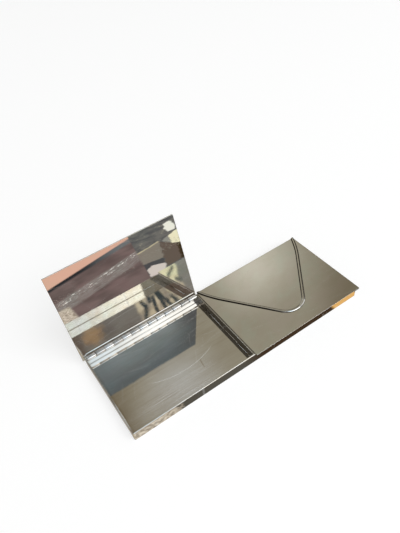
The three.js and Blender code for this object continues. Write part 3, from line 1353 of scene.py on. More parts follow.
@dataclass
class Hinge:
    """One hinge: a pin, tube knuckles on case and lid by turns, and the strips that carry them."""

    lid: Lid
    finishes: Finishes
    knuckles_on_case: int = 7
    knuckles_on_lid: int = 6
    tube_sides: int = 40
    bore_radius: float = 0.8
    tube_edge: float = 0.2
    strip_edge: float = 0.22
    ledge_edge: float = 0.42
    ledge_segments: int = 5
    pin_sides: int = 24
    pin_end: float = 0.2
    body: str = "case"

    def __post_init__(self) -> None:
        """Takes the hinge axis and the cove's radius from the frame."""
        self.side = self.lid.side
        self.axis: Pair = tuple(Joint.of(self.lid.body).place.yz)
        self.cove = Extent.of("front_wall").high.z - self.axis[1]

    def tube(self, node: str, right_node: str, carrier: Carrier) -> None:
        """One knuckle.

        Args:
            node: its CAD node.
            right_node: the matching node of the right hinge, whose lid is closed.
            carrier: what it is soldered to.
        """
        extent = Extent.of(right_node).on(self.side)
        outer = extent.size.y / 2
        blank = Blank()
        mesh = blank.mesh
        corners = (
            (extent.low.x, self.bore_radius),
            (extent.high.x, self.bore_radius),
            (extent.high.x, outer),
            (extent.low.x, outer),
        )
        spots = [mesh.verts.new((x, 0, radius)) for x, radius in corners]
        rings = [mesh.edges.new((spots[i - 1], spots[i])) for i in range(len(spots))]
        bmesh.ops.spin(
            mesh,
            geom=spots + rings,
            cent=(0, 0, 0),
            axis=(1, 0, 0),
            angle=math.tau,
            steps=self.tube_sides,
            use_merge=True,
            use_duplicate=False,
        )
        blank.close_up()

        def on_rim(a: Vector, b: Vector) -> bool:
            """Whether an edge runs round an outer end of the tube."""
            return abs(a.x - b.x) < CLOSE and min(a.yz.length, b.yz.length) > outer - CLOSE

        blank.soften(blank.edges(on_rim), self.tube_edge)
        bmesh.ops.translate(mesh, vec=(0, *self.axis), verts=mesh.verts[:])
        blank.smooth_rounds()
        if carrier is Carrier.LID:
            blank.piece(node, self.lid.body, Slot.HINGE, self.finishes.lid_tube, self.lid.turn)
        else:
            blank.piece(node, self.body, Slot.HINGE, self.finishes.case_tube)

    def pin(self) -> None:
        """The wire through the knuckles, with rounded ends."""
        node = f"{self.side.value}_hinge_pin"
        extent = Extent.of(node)
        radius = extent.size.y / 2
        blank = Blank()
        bmesh.ops.create_cone(
            blank.mesh,
            cap_ends=True,
            segments=self.pin_sides,
            radius1=radius,
            radius2=radius,
            depth=extent.size.x,
        )
        laid = Matrix.Translation(extent.middle) @ Matrix.Rotation(math.pi / 2, 4, "Y")
        bmesh.ops.transform(blank.mesh, matrix=laid, verts=blank.mesh.verts[:])
        ends = blank.edges(lambda a, b: abs(a.x - b.x) < CLOSE)
        blank.soften(ends, self.pin_end)
        blank.smooth_rounds()
        blank.piece(node, self.body, Slot.PIN, self.finishes.pin)

    def chord(self, offset: float) -> float:
        """Half the cove's chord at an offset from the axis."""
        return math.sqrt(self.cove**2 - offset**2)

    def coved(self, extent: Extent, corners: Sequence[Pair], end: Pair) -> Blank:
        """A strip along X with a cove about the hinge axis.

        Args:
            extent: the strip's box.
            corners: its corners in Y and Z, of which the last is the cove's start.
            end: the cove's other end, as seen from the axis.

        Returns:
            The strip in the making.
        """
        axis_y, axis_z = self.axis
        start_y, start_z = corners[-1]
        turn = math.atan2(end[1], end[0]) - math.atan2(start_z - axis_z, start_y - axis_y)
        return Blank().section(corners, self.axis, turn).draw_out(extent.low.x, extent.high.x)

    def case_strip(self) -> None:
        """The strip under the barrel, soldered to the back wall."""
        node = f"{self.side.value}_case_bearer"
        extent = Extent.of(node)
        axis_y, axis_z = self.axis
        front = extent.low.y - axis_y
        corners = [
            (extent.low.y, extent.low.z),
            (extent.high.y, extent.low.z),
            (extent.high.y, axis_z - self.chord(extent.high.y - axis_y)),
        ]
        blank = self.coved(extent, corners, (front, -self.chord(front)))
        edge = blank.edges(lambda a, b: abs(a.x - b.x) > LONG and max(a.y, b.y) < extent.low.y + CLOSE)
        blank.soften(edge, self.strip_edge)
        blank.seam(extent.low.y, extent.low.z, -1, (extent.low.x, extent.high.x))
        blank.piece(node, self.body, Slot.HINGE, self.finishes.strip)

    def lid_strip(self) -> None:
        """The strip inside the lid, along the barrel."""
        node = f"{self.side.value}_lid_bearer"
        extent = Extent.of("right_lid_bearer").on(self.side)
        axis_y, axis_z = self.axis
        lower = extent.low.z - axis_z
        corners = [
            (extent.low.y, extent.low.z),
            (extent.low.y, extent.high.z),
            (extent.high.y, extent.high.z),
            (extent.high.y, axis_z + self.chord(extent.high.y - axis_y)),
        ]
        blank = self.coved(extent, corners, (-self.chord(lower), lower))
        ledge = blank.edges(lambda a, b: abs(a.x - b.x) > LONG and max(a.z, b.z) < extent.low.z + CLOSE)
        blank.soften(ledge, self.ledge_edge, self.ledge_segments)
        blank.piece(node, self.lid.body, Slot.HINGE, self.finishes.ledge, self.lid.turn)

    def build(self) -> None:
        """Makes the hinge's strips, pin and knuckles."""
        self.case_strip()
        self.lid_strip()
        self.pin()
        counts = {Carrier.CASE: self.knuckles_on_case, Carrier.LID: self.knuckles_on_lid}
        for carrier, count in counts.items():
            for number in range(1, count + 1):
                tail = f"{carrier.value}_knuckle_{number}"
                self.tube(f"{self.side.value}_{tail}", f"right_{tail}", carrier)


class Paintwork:
    """How a card of the set is painted, by the place in millimetres on the card: the painted reflections that
    the metal shows.
    """

    def colour(self, graph: Graph, spot: Signal) -> Signal:
        """The colour at each place."""
        raise NotImplementedError

    @staticmethod
    def frayed(graph: Graph, spot: Signal, size: float, reach: float) -> Signal:
        """Places moved about a little, which frays the outlines that are drawn with them."""
        drift = graph.mottle(spot, Mottle((size,) * 3, detail=3.0)).also("Color")
        return graph.vectors("MULTIPLY_ADD", drift, (reach,) * 3, spot)


@dataclass(frozen=True)
class Patch:
    """A patch on a card: the corners of its convex outline, counter-clockwise, and its colour."""

    corners: Sequence[Pair]
    colour: Colour

    def inside(self, graph: Graph, spot: Signal, blur: float) -> Signal:
        """The outline filled in.

        Args:
            graph: the tree.
            spot: places on the card.
            blur: how far its border fades.

        Returns:
            1 inside the outline and 0 outside.
        """
        inside = None
        for first, second in zip(self.corners, (*self.corners[1:], self.corners[0])):
            start = Vector((*first, 0))
            along = (Vector((*second, 0)) - start).normalized()
            inward = Vector((-along.y, along.x, 0))
            depth = graph.vectors("DOT_PRODUCT", spot, tuple(inward), output="Value") - inward.dot(start)
            inside = depth if inside is None else inside.least(depth)
        return graph.ease(inside, -blur, blur)


@dataclass(frozen=True)
class FrontBoardReflection(Paintwork):
    """Painted reflection of a board in front of the box: dark, with a pale strip and a rose border, and
    patches on its right.
    """

    PATCHES: ClassVar[Sequence[Patch]] = (
        Patch(
            ((80, -201), (90, -203), (86, -178), (79, -162), (70, -164), (71, -180)),
            (0.95, 0.95, 0.86, 1),
        ),
        Patch(((62, -151), (84, -160), (66, -100), (53, -121)), (0.95, 0.92, 0.66, 1)),
        Patch(((50, -143), (62, -151), (53, -121)), (0.31, 0.31, 0.28, 1)),
        Patch(((5, -136), (48, -146), (29, -91), (7, -99)), (0.26, 0.235, 0.20, 1)),
        Patch(((5, -138), (48, -148), (48, -145), (5, -135)), (0.60, 0.54, 0.37, 1)),
        Patch(((47, -143), (58, -108), (40, -64), (20, -65)), (0.145, 0.112, 0.092, 1)),
        Patch(((56, -113), (64, -110), (46, -60), (38, -66)), (0.054, 0.038, 0.020, 1)),
        Patch(((-2, -85), (7, -99), (29, -91), (23, -74), (-3, -57)), (0.085, 0.085, 0.090, 1)),
        Patch(((3, -79), (11, -86), (23, -76), (19, -63), (8, -57), (-1, -59)), (0.72, 0.65, 0.61, 1)),
    )
    PATCH_BLUR: ClassVar[float] = 1.2
    FRAY_SIZE: ClassVar[float] = 8.0
    FRAY_REACH: ClassVar[float] = 6.0
    CLOUDS: ClassVar[Mottle] = Mottle((40, 30, 30))
    FLECKS: ClassVar[Mottle] = Mottle((16, 2.4, 3), turn=-0.3, detail=5.0, roughness=0.75)
    GLINTS: ClassVar[Mottle] = Mottle((9, 3, 3), turn=-0.3, shift=(4, 7, 0), detail=4.0, roughness=0.7)
    SHADES: ClassVar[Mottle] = Mottle((20, 16, 16), turn=0.4, detail=4.0, roughness=0.6)
    VEINS: ClassVar[Mottle] = Mottle((30, 22, 22), turn=-0.3, shift=(2, 5, 0), detail=3.0, roughness=0.6)
    SPOTS: ClassVar[Mottle] = Mottle((3, 1.6, 3), detail=4.0)

    brown: Colour = (0.21, 0.15, 0.145, 1)
    deep_brown: Colour = (0.135, 0.10, 0.095, 1)
    strip_lean: float = 0.33
    strip: Span = (-149, -144, -116, -108)
    strip_grey: Colour = (0.29, 0.265, 0.25, 1)
    grey_reach: Pair = (0.3, 0.6)
    strip_white: Colour = (0.75, 0.74, 0.72, 1)
    white_reach: Pair = (0.62, 0.66)
    strip_edge: Span = (-146, -142, -134, -128)
    glint: Colour = (1.5, 1.48, 1.42, 1)
    glint_reach: Pair = (0.58, 0.63)
    border_lean: float = 0.05
    border_from: Pair = (-181, -190)
    border_left: Colour = (0.028, 0.030, 0.034, 1)
    border_right: Colour = (0.17, 0.185, 0.195, 1)
    border_change: Pair = (-50, 20)
    rose_from: Pair = (-198, -203)
    rose: Colour = (0.80, 0.48, 0.37, 1)
    right_lean: float = 0.231
    right_from: Pair = (-17, -15)
    right_front: Pair = (-56, -58)
    right_dark: Colour = (0.105, 0.105, 0.11, 1)
    right_grey: Colour = (0.18, 0.175, 0.165, 1)
    shade_reach: Pair = (0.36, 0.62)
    vein: Colour = (0.46, 0.43, 0.33, 1)
    vein_middle: float = 0.5
    vein_width: Pair = (0.012, 0.003)
    vein_reach: Pair = (0.48, 0.58)
    vein_share: float = 0.6
    foot_from: Pair = (-60, -52)
    foot_change: Pair = (-12, 12)
    foot_left: Colour = (0.105, 0.098, 0.082, 1)
    foot_right: Colour = (0.062, 0.038, 0.022, 1)
    near_box: Pair = (-52, -46)
    left_dark: Colour = (0.34, 0.29, 0.23, 1)
    left_light: Colour = (0.84, 0.76, 0.64, 1)
    left_from: Pair = (-56, -62)
    left_fray: float = 8
    left_end: Pair = (-79, -83)
    left_front: Pair = (-98, -88)
    amber: Colour = (0.92, 0.54, 0.19, 1)
    amber_span: Span = (76, 80, 101, 104)

    def colour(self, graph: Graph, spot: Signal) -> Signal:
        """The colour at each place.

        Args:
            graph: the tree.
            spot: places on the board.

        Returns:
            The board's colour.
        """
        x, y, _ = graph.split(spot)
        right = graph.ease(x + y * self.right_lean, *self.right_from) * graph.ease(y, *self.right_front)
        colour = graph.mix(right, self.strips(graph, spot), self.patched(graph, spot))
        # Dark along the box's foot: a painted shadow in the reflection.
        foot = graph.fade(x, self.foot_change, self.foot_left, self.foot_right)
        colour = graph.fade(y, self.foot_from, colour, foot)
        near = graph.ease(y, *self.near_box)
        spots = graph.ease(graph.mottle(spot, self.SPOTS), *graph.CLOUD_REACH)
        left = graph.ease(x + spots * self.left_fray, *self.left_from) * near
        left = left.most(graph.ease(x, *self.left_end) * graph.ease(y, *self.left_front))
        colour = graph.mix(left, colour, graph.mix(spots, self.left_dark, self.left_light))
        return graph.mix(graph.band(x, *self.amber_span) * near, colour, self.amber)

    def strips(self, graph: Graph, spot: Signal) -> Signal:
        """The dark board with its pale strip, its border and the rose beyond.

        Args:
            graph: the tree.
            spot: places on the board.

        Returns:
            The colour there.
        """
        x, y, _ = graph.split(spot)
        run = y + x * self.strip_lean
        flecks = graph.mottle(spot, self.FLECKS)
        glints = graph.ease(graph.mottle(spot, self.GLINTS), *self.glint_reach)
        strip = graph.band(run, *self.strip)
        colour = graph.clouds(spot, self.CLOUDS, self.brown, self.deep_brown)
        colour = graph.mix(strip * graph.ease(flecks, *self.grey_reach), colour, self.strip_grey)
        colour = graph.mix(strip * graph.ease(flecks, *self.white_reach), colour, self.strip_white)
        colour = graph.mix(graph.band(run, *self.strip_edge) * glints, colour, self.glint)
        border = graph.fade(x, self.border_change, self.border_left, self.border_right)
        colour = graph.fade(run - x * self.border_lean, self.border_from, colour, border)
        return graph.fade(run, self.rose_from, colour, self.rose)

    def patched(self, graph: Graph, spot: Signal) -> Signal:
        """Veined grey with light and dark patches.

        Args:
            graph: the tree.
            spot: places on the board.

        Returns:
            The colour there.
        """
        shades = graph.mottle(spot, self.SHADES)
        colour = graph.fade(shades, self.shade_reach, self.right_dark, self.right_grey)
        veins = graph.ease(abs(graph.mottle(spot, self.VEINS) - self.vein_middle), *self.vein_width)
        veins = veins * graph.ease(shades, *self.vein_reach)
        colour = graph.mix(veins * self.vein_share, colour, self.vein)
        moved = graph.sized(spot, (1, 1, 1), shift=(self.FRAY_REACH / 2,) * 3)
        frayed = self.frayed(graph, moved, self.FRAY_SIZE, self.FRAY_REACH)
        for patch in self.PATCHES:
            colour = graph.mix(patch.inside(graph, frayed, self.PATCH_BLUR), colour, patch.colour)
        return colour


@dataclass(frozen=True)
class FrontScreenReflection(Paintwork):
    """Painted reflection of a screen in front of the box: brown-grey, with a tan blot, and dark strokes on
    cream at the right.
    """

    STROKES: ClassVar[Sequence[tuple[Pair, Pair]]] = (
        ((163, 316), (162, 338)),
        ((173, 326), (171, 388)),
        ((185, 315), (199, 386)),
        ((189, 317), (218, 386)),
        ((221, 349), (236, 382)),
        ((138, 321), (148, 345)),
        ((148, 345), (133, 376)),
        ((233, 314), (255, 296)),
        ((250, 329), (265, 342)),
    )
    STROKE_WIDTH: ClassVar[float] = 9.0
    STROKE_STRETCH: ClassVar[float] = 1.1
    STROKE_SIDES: ClassVar[Pair] = (0.75, 0.35)
    STROKE_ENDS: ClassVar[Pair] = (0.60, 0.42)
    FRAY_SIZE: ClassVar[float] = 12.0
    FRAY_REACH: ClassVar[float] = 7.0
    CLOUDS: ClassVar[Mottle] = Mottle((160, 90, 90), detail=3.0)
    RAGS: ClassVar[Mottle] = Mottle((22, 16, 16), detail=4.0, roughness=0.65)
    SHADES: ClassVar[Mottle] = Mottle((26, 40, 40), turn=0.3, detail=3.0)

    grey: Colour = (0.25, 0.24, 0.23, 1)
    brown: Colour = (0.155, 0.145, 0.14, 1)
    blot_centre: Triple = (-5, 340, 0)
    blot_reach: Pair = (67, 44)
    blot_fray: float = 60
    tan: Colour = (0.40, 0.285, 0.18, 1)
    left_from: Pair = (-30, -44)
    left_brown: Colour = (0.17, 0.14, 0.125, 1)
    cream: Colour = (0.76, 0.69, 0.53, 1)
    dull_cream: Colour = (0.38, 0.35, 0.30, 1)
    dull_reach: Pair = (0.40, 0.62)
    yellow: Colour = (0.95, 0.92, 0.64, 1)
    yellow_from: Pair = (212, 224)
    yellow_top: Pair = (345, 325)
    end_from: Pair = (274, 280)
    end_fray: float = 30
    end_grey: Colour = (0.27, 0.275, 0.255, 1)
    stroke: Colour = (0.055, 0.072, 0.082, 1)
    cream_from: Pair = (128, 140)
    cream_fray: float = 20
    cream_top: Pair = (410, 392)
    pale: Colour = (0.85, 0.85, 0.85, 1)
    pale_span: Span = (30, 60, 275, 290)

    def colour(self, graph: Graph, spot: Signal) -> Signal:
        """The colour at each place.

        Args:
            graph: the tree.
            spot: places on the screen.

        Returns:
            The screen's colour.
        """
        x, y, _ = graph.split(spot)
        rags = graph.mottle(spot, self.RAGS)
        blot = graph.distance(spot, self.blot_centre) + rags * self.blot_fray
        colour = graph.clouds(spot, self.CLOUDS, self.grey, self.brown)
        colour = graph.fade(blot, self.blot_reach, colour, self.tan)
        colour = graph.fade(x, self.left_from, colour, self.left_brown)
        right = graph.ease(x + rags * self.cream_fray, *self.cream_from) * graph.ease(y, *self.cream_top)
        colour = graph.mix(right, colour, self.stroked(graph, spot))
        return graph.mix(graph.band(y, *self.pale_span), colour, self.pale)

    def stroked(self, graph: Graph, spot: Signal) -> Signal:
        """Cream with dark strokes.

        Args:
            graph: the tree.
            spot: places on the screen.

        Returns:
            The colour there.
        """
        x, y, _ = graph.split(spot)
        shades = graph.mottle(spot, self.SHADES)
        colour = graph.fade(shades, self.dull_reach, self.cream, self.dull_cream)
        light = graph.ease(x, *self.yellow_from) * graph.ease(y, *self.yellow_top)
        colour = graph.mix(light, colour, self.yellow)
        colour = graph.fade(x + shades * self.end_fray, self.end_from, colour, self.end_grey)
        frayed = self.frayed(graph, spot, self.FRAY_SIZE, self.FRAY_REACH)
        moved = Vector((1, 1)) * self.FRAY_REACH / 2
        for start, end in self.STROKES:
            run = Vector(end) - Vector(start)
            middle = (Vector(end) + Vector(start)) / 2 + moved
            size = (run.length * self.STROKE_STRETCH, self.STROKE_WIDTH, 1)
            local = graph.sized(frayed, size, math.atan2(run.y, run.x), (*middle, 0))
            along, across, _ = graph.split(local)
            mark = graph.ease(abs(across), *self.STROKE_SIDES) * graph.ease(abs(along), *self.STROKE_ENDS)
            colour = graph.mix(mark, colour, self.stroke)
        return colour


@dataclass(frozen=True)
class DarkScreenReflection(Paintwork):
    """Painted reflection of a dark screen: dark brown with faint clouds."""

    DARK_CLOUDS: ClassVar[Mottle] = Mottle((60, 40, 40))

    dark: Colour = (0.05, 0.042, 0.035, 1)
    less_dark: Colour = (0.085, 0.07, 0.055, 1)

    def colour(self, graph: Graph, spot: Signal) -> Signal:
        """The colour at each place."""
        return graph.clouds(spot, self.DARK_CLOUDS, self.dark, self.less_dark)


@dataclass(frozen=True)
class HalfGreyScreenReflection(DarkScreenReflection):
    """Painted reflection of a dark brown screen, with a stretch of grey."""

    grey: Colour = (0.36, 0.35, 0.32, 1)
    grey_span: Span = (250, 330, 800, 900)

    def colour(self, graph: Graph, spot: Signal) -> Signal:
        """The colour at each place."""
        share = graph.band(graph.split(spot)[0], *self.grey_span)
        return graph.mix(share, super().colour(graph, spot), self.grey)


@dataclass(frozen=True)
class BackBoardReflection(DarkScreenReflection):
    """Painted reflection of what lies beside and behind the box: grey there, dark brown farther off on the
    right and tan on the left.
    """

    GREY_CLOUDS: ClassVar[Mottle] = Mottle((50, 40, 40))

    grey: Colour = (0.40, 0.395, 0.38, 1)
    light_grey: Colour = (0.54, 0.535, 0.52, 1)
    tan: Colour = (0.44, 0.36, 0.23, 1)
    tan_span: Span = (-106, -103, -101, -100)
    tan_back: Pair = (44, 40)
    far_from: Pair = (0, 20)
    far_behind: Pair = (56, 66)
    far_right: Pair = (120, 130)

    def colour(self, graph: Graph, spot: Signal) -> Signal:
        """The colour at each place.

        Args:
            graph: the tree.
            spot: places on the board.

        Returns:
            The board's colour.
        """
        x, y, _ = graph.split(spot)
        colour = graph.clouds(spot, self.GREY_CLOUDS, self.grey, self.light_grey)
        left = graph.band(x, *self.tan_span) * graph.ease(y, *self.tan_back)
        colour = graph.mix(left, colour, self.tan)
        far = graph.ease(x, *self.far_from) * graph.ease(y, *self.far_behind)
        far = far.most(graph.ease(x, *self.far_right))
        return graph.mix(far, colour, super().colour(graph, spot))


@dataclass(frozen=True)
class Glow:
    """A soft round patch of other light in the room.

    It has a direction, and chords for how far it holds and where it ends.
    """

    centre: Triple
    holds: float
    ends: float

    def over(self, graph: Graph, ray: Signal, colour: Signal, light: object) -> Signal:
        """The room's light with the patch over it.

        Args:
            graph: the tree.
            ray: the direction that is looked in.
            colour: the light without the patch.
            light: the patch's own light.

        Returns:
            The light with the patch.
        """
        away = graph.distance(ray, tuple(Vector(self.centre).normalized()))
        return graph.fade(away, (self.ends, self.holds), colour, light)


@dataclass(frozen=True)
class Room:
    """The soft room round the set, by direction: a window in front, and dimmer wall and ceiling."""

    DRIFT: ClassVar[Mottle] = Mottle((0.13, 0.05, 0.13), turn=0.3, detail=3.0, roughness=0.6)
    WINDOW: ClassVar[Glow] = Glow((0.22, -0.62, 0.74), holds=0.40, ends=0.48)
    SLATE: ClassVar[Glow] = Glow((0.18, -0.12, 0.97), holds=0.16, ends=0.25)
    FRONT_LEFT: ClassVar[Glow] = Glow((-0.27, -0.64, 0.72), holds=0.10, ends=0.22)
    BACK_RIGHT: ClassVar[Glow] = Glow((0.43, 0.57, 0.70), holds=0.0, ends=0.13)
    BACK_MIDDLE: ClassVar[Glow] = Glow((0.195, 0.485, 0.85), holds=0.0, ends=0.12)

    ceiling: Colour = (0.325, 0.303, 0.238, 1)
    ceiling_right: Colour = (0.20, 0.173, 0.124, 1)
    ceiling_change: Pair = (0.01, 0.14)
    dim: Colour = (0.20, 0.17, 0.12, 1)
    dim_span: Span = (-0.50, -0.35, 0.05, 0.13)
    left_wall: Colour = (0.46, 0.45, 0.42, 1)
    left_wall_from: Pair = (-0.35, -0.55)
    right_wall: Colour = (0.08, 0.07, 0.05, 1)
    right_wall_from: Pair = (0.60, 0.70)
    back_right: Colour = (0.62, 0.60, 0.51, 1)
    back_middle: Colour = (0.475, 0.48, 0.465, 1)
    overhead: Colour = (0.42, 0.42, 0.41, 1)
    overhead_sides: Colour = (0.60, 0.595, 0.58, 1)
    overhead_change: Pair = (0.45, 0.75)
    overhead_from: Pair = (0.24, 0.06)
    slate_dark: Colour = (0.145, 0.175, 0.20, 1)
    slate_pale: Colour = (0.335, 0.40, 0.435, 1)
    slate_right: Colour = (0.12, 0.13, 0.14, 1)
    slate_front: Pair = (-0.155, -0.208)
    slate_side: Pair = (0.05, 0.14)
    slate_side_least: float = 0.4
    slate_drift: Pair = (0.36, 0.62)
    slate_drift_least: float = 0.6
    slate_right_from: Pair = (0.21, 0.29)
    window_blue: Colour = (1.38, 1.60, 1.80, 1)
    window_white: Colour = (2.0, 2.06, 2.1, 1)
    window_change: Pair = (0.07, 0.20)
    front_left: Colour = (0.26, 0.27, 0.29, 1)
    far_back: Colour = (0.30, 0.29, 0.27, 1)
    far_front: Colour = (0.62, 0.62, 0.61, 1)
    far_change: Pair = (0.2, -0.2)
    far_below: Pair = (0.52, 0.42)
    corner: Colour = (0.07, 0.065, 0.055, 1)
    corner_side: Pair = (-0.08, -0.22)
    corner_front: Pair = (-0.58, -0.46)
    corner_back: Pair = (-0.06, -0.18)
    corner_height: Pair = (0.66, 0.76)
    corner_left: Pair = (-0.72, -0.60)
    skirting: Colour = (0.98, 0.98, 0.98, 1)
    skirting_below: Pair = (0.33, 0.20)

    def build(self) -> None:
        """Makes the room the scene's world."""
        world = bpy.data.worlds.new("room")
        world.use_nodes = True
        bpy.context.scene.world = world
        graph = Graph(world.node_tree)
        ray = graph.node("ShaderNodeTexCoord", output="Generated")
        sockets = {"Color": self.light(graph, ray), "Strength": 1.0}
        light = graph.node("ShaderNodeBackground", sockets=sockets)
        graph.node("ShaderNodeOutputWorld", sockets={"Surface": light})

    def ceiling_light(self, graph: Graph, ray: Signal) -> Signal:
        """The ceiling behind the box, and the light overhead.

        Args:
            graph: the tree.
            ray: the direction that is looked in.

        Returns:
            The light from there.
        """
        x, y, _ = graph.split(ray)
        colour = graph.fade(x - y, self.ceiling_change, self.ceiling, self.ceiling_right)
        colour = graph.mix(graph.band(x, *self.dim_span), colour, self.dim)
        colour = graph.fade(x, self.left_wall_from, colour, self.left_wall)
        colour = graph.fade(x, self.right_wall_from, colour, self.right_wall)
        colour = self.BACK_RIGHT.over(graph, ray, colour, self.back_right)
        colour = self.BACK_MIDDLE.over(graph, ray, colour, self.back_middle)
        overhead = graph.fade(abs(x), self.overhead_change, self.overhead, self.overhead_sides)
        return graph.fade(y, self.overhead_from, colour, overhead)

    def slate_light(self, graph: Graph, ray: Signal) -> Signal:
        """The slate patch overhead, paler towards the window.

        Args:
            graph: the tree.
            ray: the direction that is looked in.

        Returns:
            The light from there.
        """
        x, y, _ = graph.split(ray)
        drift = graph.ease(graph.mottle(ray, self.DRIFT), *self.slate_drift)
        side = graph.ease(x, *self.slate_side).lifted(self.slate_side_least)
        pale = graph.ease(y, *self.slate_front) * side * drift.lifted(self.slate_drift_least)
        slate = graph.mix(pale, self.slate_dark, self.slate_pale)
        return graph.fade(x, self.slate_right_from, slate, self.slate_right)

    def light(self, graph: Graph, ray: Signal) -> Signal:
        """The light from every side.

        Args:
            graph: the tree.
            ray: the direction that is looked in.

        Returns:
            The light from there.
        """
        x, y, z = graph.split(ray)
        window = graph.fade(x, self.window_change, self.window_blue, self.window_white)
        colour = self.WINDOW.over(graph, ray, self.ceiling_light(graph, ray), window)
        colour = self.SLATE.over(graph, ray, colour, self.slate_light(graph, ray))
        colour = self.FRONT_LEFT.over(graph, ray, colour, self.front_left)
        far = graph.fade(y, self.far_change, self.far_back, self.far_front)
        colour = graph.fade(z, self.far_below, colour, far)
        high = graph.ease(z, *self.corner_height) * graph.ease(x, *self.corner_left)
        corner = graph.ease(x, *self.corner_side) * graph.ease(y, *self.corner_front)
        corner = corner * high.most(graph.ease(y, *self.corner_back))
        colour = graph.mix(corner, colour, self.corner)
        return graph.fade(z, self.skirting_below, colour, self.skirting)


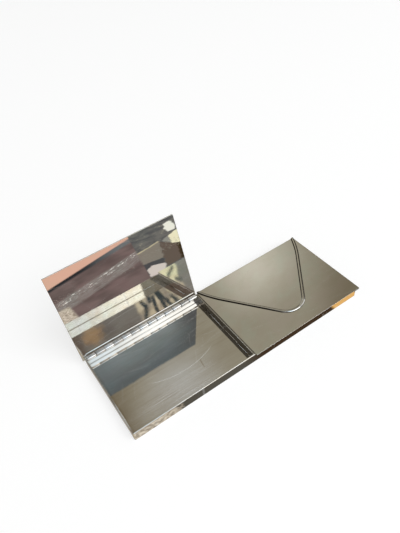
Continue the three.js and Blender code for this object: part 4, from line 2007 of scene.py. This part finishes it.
@dataclass
class Studio:
    """Floor, lights and camera: plain, pale and soft."""

    image_size: tuple[int, int] = (400, 533)
    camera_place: Triple = (-0.1216, -0.19587, 0.29613)
    azimuth: float = -28.31
    elevation: float = 46.56
    roll: float = -8.25
    focal_pixels: float = 486.55
    centre_pixel: Pair = (199.31, 284.43)
    sensor: float = 36.0
    clip_start: float = 0.01
    floor_reach: float = 4.0
    floor_colour: Colour = (0.36, 0.36, 0.36, 1.0)
    floor_glow: float = 0.705
    board_reach: float = 0.32
    board_gap: float = 0.0001
    screen_distance: float = 0.75
    front_screen_reflection: Pair = (1.2, 0.52)
    back_screen_reflection_height: float = 0.37
    key_direction: Triple = (0.24, -0.62, 0.75)
    key_distance: float = 2.2
    key_size: Pair = (1.9, 1.6)
    key_radiance: float = 2.4
    aim: Triple = (0.0, 0.0, 0.03)
    BACK_SCREENS: ClassVar[Sequence[tuple[int, float, Paintwork]]] = (
        (134, 0.95, HalfGreyScreenReflection()),
        (236, 0.95, DarkScreenReflection()),
        (298, 0.20, DarkScreenReflection()),
    )

    def camera(self) -> None:
        """The camera at the photograph's viewing angle."""
        data = bpy.data.cameras.new("camera")
        width, height = self.image_size
        data.sensor_width = self.sensor
        data.lens = self.focal_pixels / max(width, height) * self.sensor
        data.shift_x = (width / 2 - self.centre_pixel[0]) / max(width, height)
        data.shift_y = (self.centre_pixel[1] - height / 2) / max(width, height)
        data.clip_start = self.clip_start
        made = bpy.data.objects.new("camera", data)
        heading = Matrix.Rotation(math.radians(self.azimuth), 4, "Z")
        tilt = Matrix.Rotation(math.radians(90 - self.elevation), 4, "X")
        roll = Matrix.Rotation(math.radians(self.roll), 4, "Z")
        made.matrix_world = Matrix.Translation(self.camera_place) @ heading @ tilt @ roll
        bpy.context.scene.collection.objects.link(made)
        bpy.context.scene.camera = made
        LOG.info("camera at %s", self.camera_place)

    def sheet(
        self, name: str, stand: Matrix, low: Pair, high: Pair, material: bpy.types.Material
    ) -> bpy.types.Object:
        """A flat sheet of the set.

        Args:
            name: its name.
            stand: how the sheet stands.
            low: its lowest corner, in metres on the sheet.
            high: its highest corner.
            material: its material.

        Returns:
            The sheet, marked as part of the set.
        """
        mesh = bmesh.new()
        bmesh.ops.create_grid(mesh, x_segments=1, y_segments=1, size=0.5)
        bmesh.ops.scale(mesh, vec=(high[0] - low[0], high[1] - low[1], 1), verts=mesh.verts[:])
        middle = ((low[0] + high[0]) / 2, (low[1] + high[1]) / 2, 0)
        bmesh.ops.translate(mesh, vec=middle, verts=mesh.verts[:])
        spot = mesh.verts.layers.float_vector.new("spot")
        for vert in mesh.verts:
            vert[spot] = vert.co * METRE
        bmesh.ops.transform(mesh, matrix=stand, verts=mesh.verts[:])
        made = set_out(name, mesh, material)
        LOG.info("%s of the set", name)
        return made

    def floor(self) -> None:
        """The plain pale floor, white by its own light to the eye and in the metal. It keeps the shadow."""
        material, graph = Graph.material("pale_floor")
        seen = graph.node("ShaderNodeLightPath", output="Is Camera Ray")
        seen = seen.most(seen.also("Is Glossy Ray")).most(seen.also("Is Transmission Ray"))
        matt = graph.node("ShaderNodeBsdfDiffuse", sockets={"Color": self.floor_colour})
        light = {"Color": (1, 1, 1, 1), "Strength": seen * self.floor_glow}
        glow = graph.node("ShaderNodeEmission", sockets=light)
        both = graph.node("ShaderNodeAddShader", sockets={0: matt, 1: glow})
        graph.node("ShaderNodeOutputMaterial", sockets={"Surface": both})
        reach = self.floor_reach
        self.sheet("floor", Matrix.Identity(4), (-reach, -reach), (reach, reach), material)

    def painted_reflection_card(self, name: str, paint: Paintwork, stand: Matrix, low: Pair, high: Pair) -> None:
        """A glowing card of the set that shows only in polished metal: a painted reflection, unseen by the
        camera, by diffuse light and by shadows.

        Args:
            name: its name.
            paint: how it is painted.
            stand: how the card stands.
            low: its lowest corner, in metres on the card.
            high: its highest corner.
        """
        material, graph = Graph.material(name)
        material.cycles.emission_sampling = "NONE"
        colour = paint.colour(graph, graph.attribute("spot", "Vector"))
        # The card glows with its painted colours: a painted reflection, not a lamp.
        glow = graph.node("ShaderNodeEmission", sockets={"Color": colour})
        graph.node("ShaderNodeOutputMaterial", sockets={"Surface": glow})
        made = self.sheet(name, stand, low, high, material)
        for ray in ("camera", "diffuse", "shadow", "transmission", "volume_scatter"):
            setattr(made, f"visible_{ray}", False)

    def painted_reflection_cards(self) -> None:
        """Painted reflections: glowing boards on the floor about the box and low screens round it, all out of
        the picture.
        """
        reach = self.board_reach
        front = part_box("front_wall")[0].y - self.board_gap
        lay = Matrix.Translation((0, 0, self.board_gap))
        self.painted_reflection_card("front_board_reflection", FrontBoardReflection(), lay, (-reach, -reach), (reach, front))
        self.painted_reflection_card("back_board_reflection", BackBoardReflection(), lay, (-reach, front), (reach, reach))
        upright = Matrix.Translation((0, -self.screen_distance, 0)) @ Matrix.Rotation(math.pi / 2, 4, "X")
        half, height = self.front_screen_reflection
        self.painted_reflection_card("front_screen_reflection", FrontScreenReflection(), upright, (-half, 0.0), (half, height))
        for turn, half, paint in self.BACK_SCREENS:
            behind = Matrix.Rotation(math.radians(turn), 4, "Z") @ upright
            high = (half, self.back_screen_reflection_height)
            self.painted_reflection_card(f"back_screen_reflection_{turn}", paint, behind, (-half, 0.0), high)

    def key(self) -> None:
        """A wide soft box in front, above and to the right."""
        data = bpy.data.lights.new("soft_box", "AREA")
        data.shape = "RECTANGLE"
        data.size, data.size_y = self.key_size
        data.energy = math.pi * self.key_radiance * data.size * data.size_y
        made = bpy.data.objects.new("soft_box", data)
        direction = Vector(self.key_direction).normalized()
        made.location = Vector(self.aim) + direction * self.key_distance
        made.rotation_euler = direction.to_track_quat("Z", "Y").to_euler()
        made.visible_glossy = False
        bpy.context.scene.collection.objects.link(made)

    def build(self) -> None:
        """Makes the set."""
        bpy.context.scene.view_settings.view_transform = "Standard"
        self.camera()
        self.floor()
        self.painted_reflection_cards()
        Room().build()
        self.key()


def main() -> None:
    """Builds the box, then its set."""
    logging.basicConfig(level=logging.INFO, format="%(name)s: %(message)s")
    finishes = Finishes()
    Tray(finishes).build()
    for side in Side:
        lid = Lid(side, finishes)
        lid.build()
        Hinge(lid, finishes).build()
    Studio().build()


if __name__ == "__main__":
    main()
